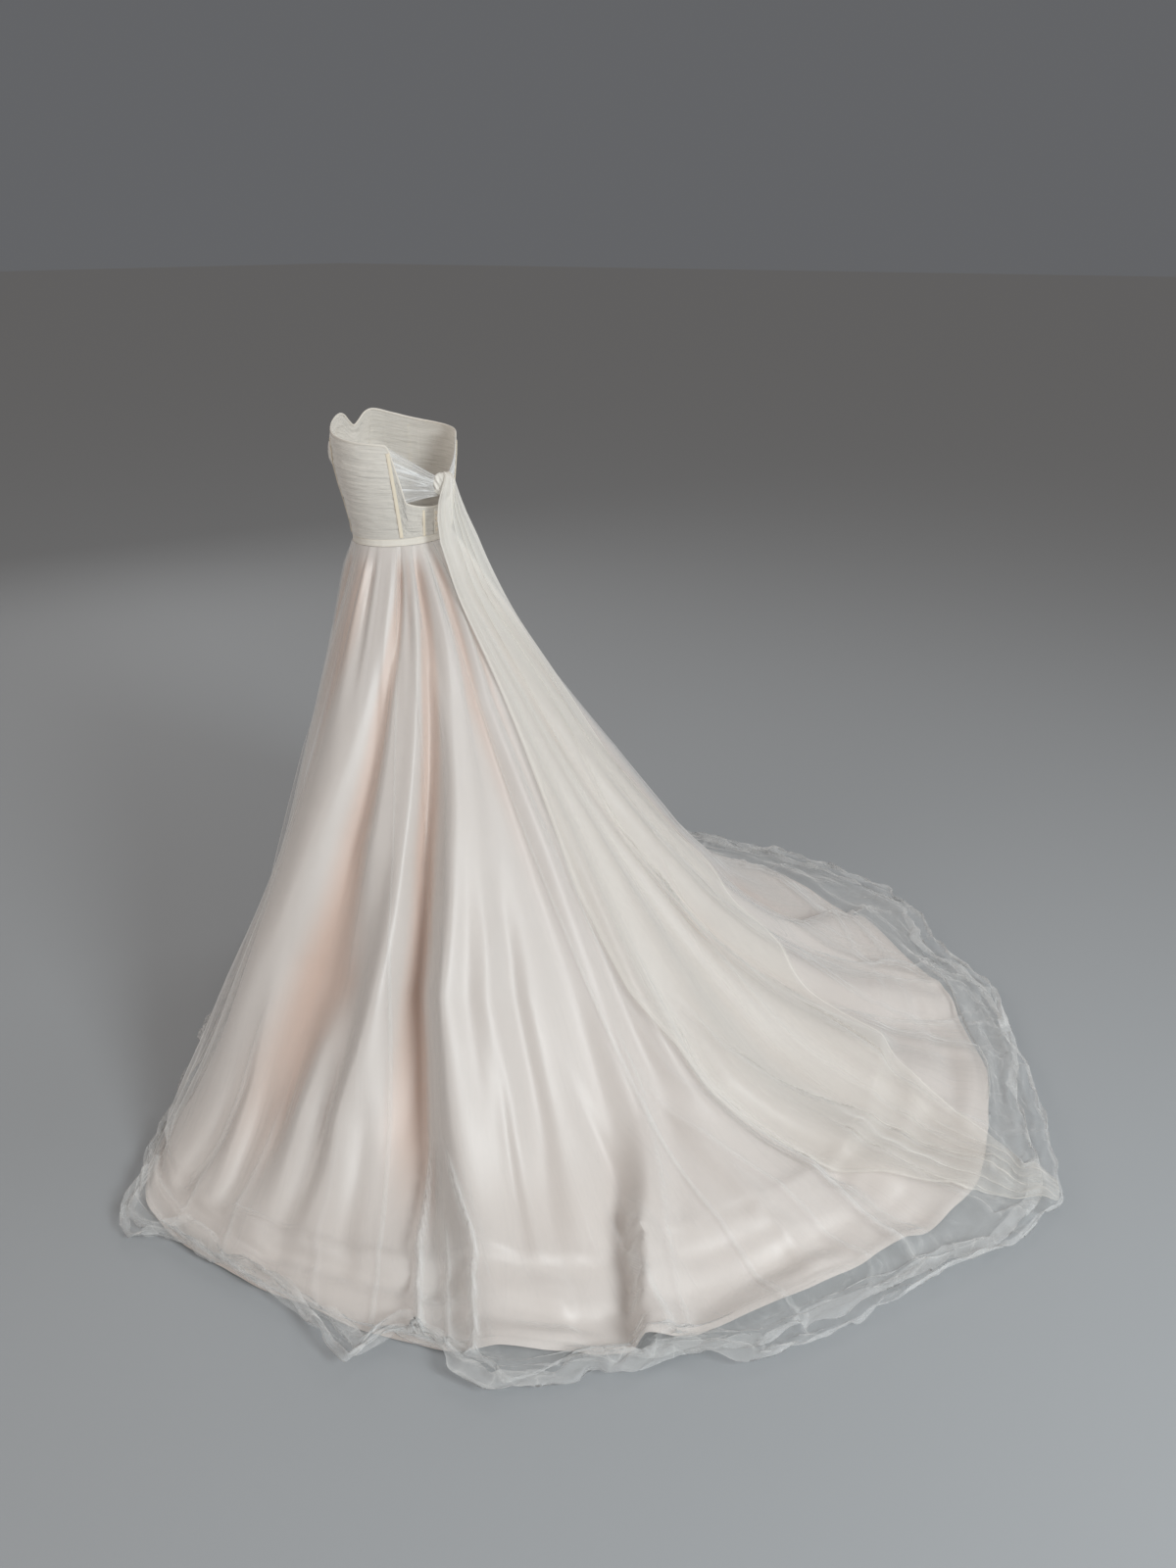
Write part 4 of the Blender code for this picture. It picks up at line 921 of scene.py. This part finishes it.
for name, count, half in (("front", 3, .0030), ("underarm", 7, .0030), ("side_back", 13, .0036),
                          ("back", 20, .0030)):
    for side, at in (("left", count), ("right", ALL_ROUND - count)):
        title = "%s_%s" % (name, side)
        casing("casing_" + title, "boning_" + title, at, half, .01, .93, CASING_OUTLINE, trim_mat)

ring = np.linspace(0, ALL_ROUND, ALL_ROUND * 8 + 1)[:-1]
rim = bodice_face(ring, np.ones(len(ring)))
rim_out = bodice_way(ring, np.full(len(ring), .97))
for _ in range(4):
    rim = .5 * rim + .25 * (np.roll(rim, 1, 0) + np.roll(rim, -1, 0))
    rim_out = .5 * rim_out + .25 * (np.roll(rim_out, 1, 0) + np.roll(rim_out, -1, 0))
rim_along = unit(np.roll(rim, -1, 0) - np.roll(rim, 1, 0))
rim_up = unit(np.cross(rim_out, rim_along))
turns = np.linspace(0, 2 * np.pi, 11)[:-1]
wave = 1 + .06 * crumple(ring * 3.0, ring * 0, 81)
centre = rim - rim_out * .0004 + rim_up * .0011
sections = np.stack([centre + rim_out * (.00135 * np.cos(t) * wave)[:, None]
                     + rim_up * (.0020 * np.sin(t) * wave)[:, None] for t in turns], 1)
binding = round_mesh("top_edge_binding", sections, edging_mat, True)
finish_piece(binding, "top_binding")
rim_line = rim + rim_out * .0009 - rim_up * .0011
stitch_lines.append(np.concatenate([rim_line, rim_line[:1]]))

band_deg = np.linspace(0, 360, 361)[:-1]
pucker = crumple_round(band_deg, 90, 0, 83)
# height, and how far it stands off the bodice
BAND_PROFILE = ((.0045, -.0012), (.0045, .0004), (.0065, .0012), (.0100, .0009), (.0117, .0006),
                (.0135, .0010), (.0170, .0011), (.0190, .0004), (.0190, -.0012))
low = body(band_deg, np.zeros(len(band_deg)))
band_turn = np.radians(band_deg)
out_way = np.stack([np.cos(band_turn), np.sin(band_turn), 0 * band_deg], -1)
sections = []
for z, away in BAND_PROFILE:
    spot = low + out_way * (away + (.00035 * pucker if away > 0 else 0 * pucker))[:, None]
    spot[:, 2] = z + .0003 * crumple_round(band_deg, 60, z * 100, 84)
    sections.append(spot)
band = round_mesh("waist_band", np.stack(sections, 1), edging_mat, True)
finish_piece(band, "waistband")
for z in (.0062, .0176):
    spot = low + out_way * .00125
    spot[:, 2] = z
    stitch_lines.append(np.concatenate([spot, spot[:1]]))

# ---- back closing --------------------------------------------------------------------------
# A flat placket down the centre back carries four small covered buttons, each caught by a loop
# of fine piping that is sewn along the placket's edge.

PLACKET_OUTLINE = ((-1.0, -.0002), (-1.0, .0006), (-.9, .0011), (0.0, .0012), (.9, .0011),
                   (1.0, .0006), (1.0, -.0002))
casing("back_placket_strip", "back_placket", CENTRE_BACK, .0065, .01, .97, PLACKET_OUTLINE, edging_mat)
button_mat = woven("covered_button", (.92, .83, .70), (.88, .77, .62), .38, .05, .2, .5)
BUTTON_HEIGHTS = (.0275, .0385, .0495, .0605)
# radius, and height over the placket
BUTTON_DOME = ((.0, .0000), (.0031, .0000), (.0037, .0005), (.0042, .0012), (.0041, .0018),
               (.0034, .0024), (.0022, .0028), (.0010, .00295), (.0001, .0030))
for number, z in enumerate(BUTTON_HEIGHTS):
    at = np.interp(z, [BODICE_FOOT, .072], [0.0, 1.0])
    y = bodice_face(CENTRE_BACK, at)[1] + .0018
    turns = np.linspace(0, 2 * np.pi, 25)[:-1]
    sections = []
    for r, out in BUTTON_DOME:
        r = max(r, .0001)
        sections.append(np.stack([np.cos(turns) * r, 0 * turns + (y + out), z + np.sin(turns) * r], -1))
    sections = np.stack(sections)
    button = round_mesh("closing_button_%d" % (number + 1), sections, button_mat, False)
    finish_piece(button, "button_%d" % (number + 1))
    # the loop runs from the placket's edge round the shank of the button and back
    swing = np.linspace(-2.35, 2.35, 26)
    path = np.stack([.0050 * np.cos(swing) - .0002, y + .0002 + .0006 * np.cos(swing),
                     z + .0050 * np.sin(swing)], -1)
    path[:, 0] *= -1
    for end in (0, -1):
        path[end] += (.0020, -.0012, 0)
    along = unit(np.gradient(path, axis=0))
    up = unit(np.array([0.0, 1.0, 0.0]) - along * along[:, 1:2])
    side = np.cross(along, up)
    rounds = [path + (up * np.sin(t) + side * np.cos(t)) * .00055
              for t in np.linspace(0, 2 * np.pi, 9)[:-1]]
    piping = round_mesh("button_loop_%d" % (number + 1), np.stack(rounds, 1), edging_mat, False)
    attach(piping, "root")

# ---- stitching -----------------------------------------------------------------------------
# Short ivory stitches run along both sides of each casing, under the binding and along the band.
# Each is a small rounded bead of thread, with a short gap before the next.

thread_mat, tree, surface = plain_cloth("sewing_thread")
place = add_node(tree, "TexCoord")
twist = add_node(tree, "TexNoise", {"Vector": place.outputs["Object"], "Scale": 900.0, "Detail": 1.0})
tone = add_node(tree, "Mix", {
    0: twist.outputs["Fac"], 6: (.80, .74, .64, 1), 7: (.93, .89, .82, 1)}, data_type="RGBA")
tree.links.new(tone.outputs[2], surface.inputs["Base Color"])
set_inputs(surface, {"Roughness": .5})

points, edges = [], []
for line in stitch_lines:
    start = len(points)
    points += [tuple(p) for p in line]
    edges += [(k, k + 1) for k in range(start, len(points) - 1)]
guide = bpy.data.meshes.new("stitching")
guide.from_pydata(points, edges, [])
stitches = bpy.data.objects.new("stitching", guide)
scene.collection.objects.link(stitches)
sewing = bpy.data.node_groups.new("run_of_stitches", "GeometryNodeTree")
sewing.interface.new_socket("Lines", in_out="INPUT", socket_type="NodeSocketGeometry")
STITCH_SIZES = (("Pitch", .0030), ("Length", .0023), ("Thickness", .00042))
socket_id = {}
for label, value in STITCH_SIZES:
    socket = sewing.interface.new_socket(label, in_out="INPUT", socket_type="NodeSocketFloat")
    socket.default_value = value
    socket_id[label] = socket.identifier
sewing.interface.new_socket("Stitches", in_out="OUTPUT", socket_type="NodeSocketGeometry")
nodes = {label: sewing.nodes.new(kind) for label, kind in (
    ("in", "NodeGroupInput"), ("out", "NodeGroupOutput"), ("curve", "GeometryNodeMeshToCurve"),
    ("spots", "GeometryNodeCurveToPoints"), ("bead", "GeometryNodeMeshUVSphere"),
    ("size", "ShaderNodeCombineXYZ"), ("half", "ShaderNodeMath"),
    ("place", "GeometryNodeInstanceOnPoints"), ("real", "GeometryNodeRealizeInstances"),
    ("finish", "GeometryNodeSetMaterial"))}
nodes["spots"].mode = "LENGTH"
set_inputs(nodes["bead"], {"Segments": 6, "Rings": 3, "Radius": 1.0})
nodes["half"].operation = "MULTIPLY"
nodes["half"].inputs[1].default_value = .5
nodes["finish"].inputs["Material"].default_value = thread_mat
for a, out, b, into in (
        ("in", "Lines", "curve", "Mesh"), ("curve", "Curve", "spots", "Curve"),
        ("in", "Pitch", "spots", "Length"), ("spots", "Points", "place", "Points"),
        ("spots", "Rotation", "place", "Rotation"), ("bead", "Mesh", "place", "Instance"),
        ("in", "Length", "half", 0), ("in", "Thickness", "size", "X"), ("in", "Thickness", "size", "Y"),
        ("half", 0, "size", "Z"), ("size", 0, "place", "Scale"), ("place", "Instances", "real", "Geometry"),
        ("real", "Geometry", "finish", "Geometry"), ("finish", "Geometry", "out", "Stitches")):
    sewing.links.new(nodes[a].outputs[out], nodes[b].inputs[into])
run = stitches.modifiers.new("run", "NODES")
run.node_group = sewing
for label, value in STITCH_SIZES:
    run[socket_id[label]] = value
ready = stitches.evaluated_get(bpy.context.evaluated_depsgraph_get())
made = bpy.data.meshes.new_from_object(ready)
stitches.modifiers.clear()
stitches.data = made
bpy.data.meshes.remove(guide)
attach(stitches, "root")

# ---- sash ----------------------------------------------------------------------------------
# Two gathered bands of tulle run from the slanting edges of the back to a knot, and a wide tail
# falls from the knot over the skirt, spreading and then drawing together at the end of the train.

SASH_COLOUR = (.975, .94, .875)
sash_mat = netted("sash_tulle", (.95, .95, .945), .32, .35)
tail_mat = netted("tail_tulle", SASH_COLOUR, .19, .55)
knot_mat = netted("knot_tulle", SASH_COLOUR, .80, .35)


def gathered(grid, count, swing, rise, seed, lag=0.0):
    """Folds cloth across its width into uneven overlapping pleats. Swing says how far each fold runs
    over the next, as a share of a pleat, rise its height and lag how far it slants down the length."""
    columns, rows = grid.shape[:2]
    c = np.linspace(0, 1, columns)[:, None]
    r = np.linspace(0, 1, rows)[None, :]
    uneven = .55 * crumple(c * count * .5 + 3, r * 1.4 + 5, seed) + .25 * crumple(c * count, r * 5, seed + 1)
    turn = 2 * np.pi * (count * c + uneven * ease(0, .1, c) * (1 - ease(.9, 1, c)) + lag * r)
    across = np.gradient(grid, axis=0)
    wide = np.linalg.norm(across, axis=-1).sum(axis=0)[None, :]
    across = unit(across, 1e-9)
    way = unit(np.cross(np.gradient(grid, axis=1), across), 1e-9)
    hold = ease(0, .06, c) * (1 - ease(.94, 1, c))
    size = .75 + .35 * crumple(c * count * .9, r * 3.0, seed + 2)
    out = grid + across * (swing * size * hold * wide / (2 * np.pi * count) * np.sin(turn))[..., None]
    return out + way * (rise * size * .5 * (1 - np.cos(turn)))[..., None]


KNOT_SIDE = (.0170, .1140)
FAN_COLUMNS, FAN_ROWS = 150, 46
for side, name in ((1.0, "left"), (-1.0, "right")):
    across = np.linspace(0, 1, FAN_COLUMNS)[:, None]
    along = np.linspace(0, 1, FAN_ROWS)[None, :]
    start = np.interp(across[:, 0], [0, 1], [13.05, 17.0])
    edge = bodice_face(start, 1.0)
    edge_way = bodice_way(start, .97)
    outward = unit(np.cross(edge_way, np.gradient(edge, axis=0)))
    edge = edge + outward * .0016 - edge_way * .0003
    end = np.stack([np.full(FAN_COLUMNS, KNOT_SIDE[0]), np.full(FAN_COLUMNS, KNOT_SIDE[1]),
                    .1370 - .0380 * across[:, 0]], -1)
    w = along[..., None]
    grid = edge[:, None] * (1 - w) + end[:, None] * w
    grid[..., 1] += .006 * np.sin(np.pi * along)
    grid[..., 2] += -.003 * np.sin(np.pi * along) * (1 - 2 * across)
    rise = .0010 + .0022 * np.sin(np.pi * along * .9)
    grid = gathered(grid, 11, 1.5, rise, 90)
    flat_place = cloth_uv(grid)
    if side < 0:
        grid = grid * np.array([-1.0, 1.0, 1.0])
        grid, flat_place = grid[::-1], flat_place[::-1]
    band = sheet_mesh("sash_fan_" + name, grid[:, ::-1], sash_mat, uv=flat_place[:, ::-1], crease=1.0)
    finish_piece(band, "sash_band_" + name)


def squash(x, power):
    """Flattens or sharpens a rounding, keeping its sign."""
    return np.sign(x) * np.abs(x) ** power


# the knot is a squashed ball, wound round with slanting turns of cloth
KNOT_CENTRE = np.array((.0050, .1140, .1215))
KNOT_HALF = np.array((.0200, .0160, .0225))
lat = np.linspace(-np.pi / 2, np.pi / 2, 64)[:, None]
lon = np.linspace(0, 2 * np.pi, 97)[None, :-1]
turn = lon + .55 * np.sin(lat * 1.3)
wrap = 1 + .20 * (1 - np.abs(np.sin(turn * 4.5 + 1.2 * np.sin(lat)))) * np.cos(lat) ** .6
wrap = wrap - .05 * np.exp(-((lat + .15) / .18) ** 2) * (np.sin(lon) > -.4)
wrap = wrap * (1 + .030 * crumple(lon / (2 * np.pi) * 14, lat * 4 + 20, 95, 14))
flank = squash(np.cos(lat), .78)
knot_grid = np.stack([flank * np.cos(lon) * wrap, flank * np.sin(lon) * wrap,
                      squash(np.sin(lat), .85) * (1 + .05 * np.cos(3 * lon))], -1)
knot_grid = KNOT_CENTRE + knot_grid * KNOT_HALF * .90
knot = round_mesh("sash_bow_knot", knot_grid, knot_mat, False)
spot = knot.data.attributes.new("crease", "FLOAT", "POINT")
spot.data.foreach_set("value", np.full(len(knot.data.vertices), .3, dtype=np.float32))
finish_piece(knot, "sash_knot")


def soften(grid, times, axis):
    """Smooth a grid along one axis, its ends held."""
    for _ in range(times):
        ends = [(0, 0)] * grid.ndim
        ends[axis] = (1, 1)
        wide = np.pad(grid, ends, mode="edge")
        n = grid.shape[axis]
        grid = .5 * grid + .25 * (np.take(wide, range(n), axis) + np.take(wide, range(2, n + 2), axis))
    return grid


HANG = np.array((
    # height, left and right edge, distance behind at the left and at the right, where it hangs free
    (-.1000, .0370, -.0920, .1720, .1800), (-.0400, .0400, -.0700, .1540, .1650),
    (.0150, .0430, -.0540, .1370, .1520), (.0620, .0420, -.0340, .1320, .1440),
    (.0936, .0360, -.0220, .1320, .1400), (.1180, .0240, -.0170, .1325, .1350),
    (.1300, .0160, -.0150, .1315, .1330), (.1390, .0080, -.0130, .1270, .1280),
    (.1430, .0020, -.0110, .1180, .1190)))
LIE = np.array((
    # row, direction of the left and of the right edge, where it lies on the skirt
    (.15, 80.8, 134.0), (.20, 80.5, 131.0), (.32, 78.4, 125.0), (.46, 75.8, 120.5), (.62, 75.6, 115.5),
    (.72, 77.6, 113.0), (.82, 78.4, 110.8), (.92, 80.4, 108.4), (1.00, 82.0, 106.5), (1.14, 83.8, 104.6),
    (1.40, 85.8, 102.4), (1.70, 87.8, 100.0), (2.00, 89.4, 98.2), (2.40, 91.0, 96.6), (2.70, 91.8, 95.4),
    (2.90, 92.4, 94.5), (2.98, 92.8, 93.9)))
TAIL_COLUMNS = 150
c = np.linspace(0, 1, TAIL_COLUMNS)[:, None]
heights = np.linspace(.143, -.100, 56)[None, :]
left, right, near, far = (np.interp(heights, HANG[:, 0], HANG[:, k]) for k in (1, 2, 3, 4))
hang = np.stack([left + (right - left) * c, near + (far - near) * c + .005 * np.sin(np.pi * c),
                 heights + 0 * c], -1)
rows = np.concatenate([np.linspace(.15, 1.0, 96), np.linspace(1, 2.0, 60)[1:],
                       np.linspace(2.0, 2.98, 44)[1:]])[None, :]
left, right = (np.interp(rows, LIE[:, 0], LIE[:, k]) for k in (1, 2))
deg = left + (right - left) * c
# where it lies, the tail bridges the folds of the skirt instead of following each of them
rise = fold_height(deg, rows + 0 * deg) + tulle_stand(deg, rows + 0 * deg, 0)
bridge = soften(soften(rise, 60, 0), 8, 1)
bridge = soften(soften(np.maximum(bridge, rise), 14, 0), 6, 1)
extra = np.maximum(bridge - rise, -.0020) + .0042
lie = tulle_form(deg, rows, 0) + skirt_way(deg, rows + 0 * deg) * extra[..., None]
# the hanging and the lying part run softly into each other, and the end is smoothed across
steps = np.linspace(0, 1, 13)[1:-1][None, :, None]
between = hang[:, -1:] * (1 - steps) + lie[:, :1] * steps
base = np.concatenate([hang, between, lie], axis=1)
joining = slice(36, 96)
base[:, joining] = soften(base[:, joining], 60, 1)
base[:, -40:] = soften(soften(base[:, -40:], 60, 0), 8, 1)
span = np.linspace(0, 1, base.shape[1])[None, :]
rise = (.0026 + .0030 * ease(0, .10, span) - .0036 * ease(.22, .45, span)
        + .0060 * ease(.62, .75, span) * (1 - ease(.86, 1, span)))
tail_grid = gathered(base, 5, .9 - .55 * ease(.7, 1, span), rise, 97, lag=.35)
streaks = (.05 + .04 * crumple(c * 9, span * 3, 99)) * ease(.0, .3, span) + .02 * ease(.62, .85, span)
lies_double = (.95 * (1 - ease(.12, .42, span)) + .35 * np.exp(-((c - .012) / .008) ** 2)
               + .3 * np.exp(-((c - .985) / .008) ** 2))
tail_uv = cloth_uv(base)
step = np.linalg.norm(np.diff(base, axis=0), axis=-1)
tail_uv[1:, :, 0] = np.cumsum(step, axis=0)
tail_uv[..., 0] -= .5 * tail_uv[-1:, :, 0]
tail = sheet_mesh("sash_long_tail", tail_grid, tail_mat, uv=tail_uv, crease=streaks, doubled=lies_double)
finish_piece(tail, "sash_tail")
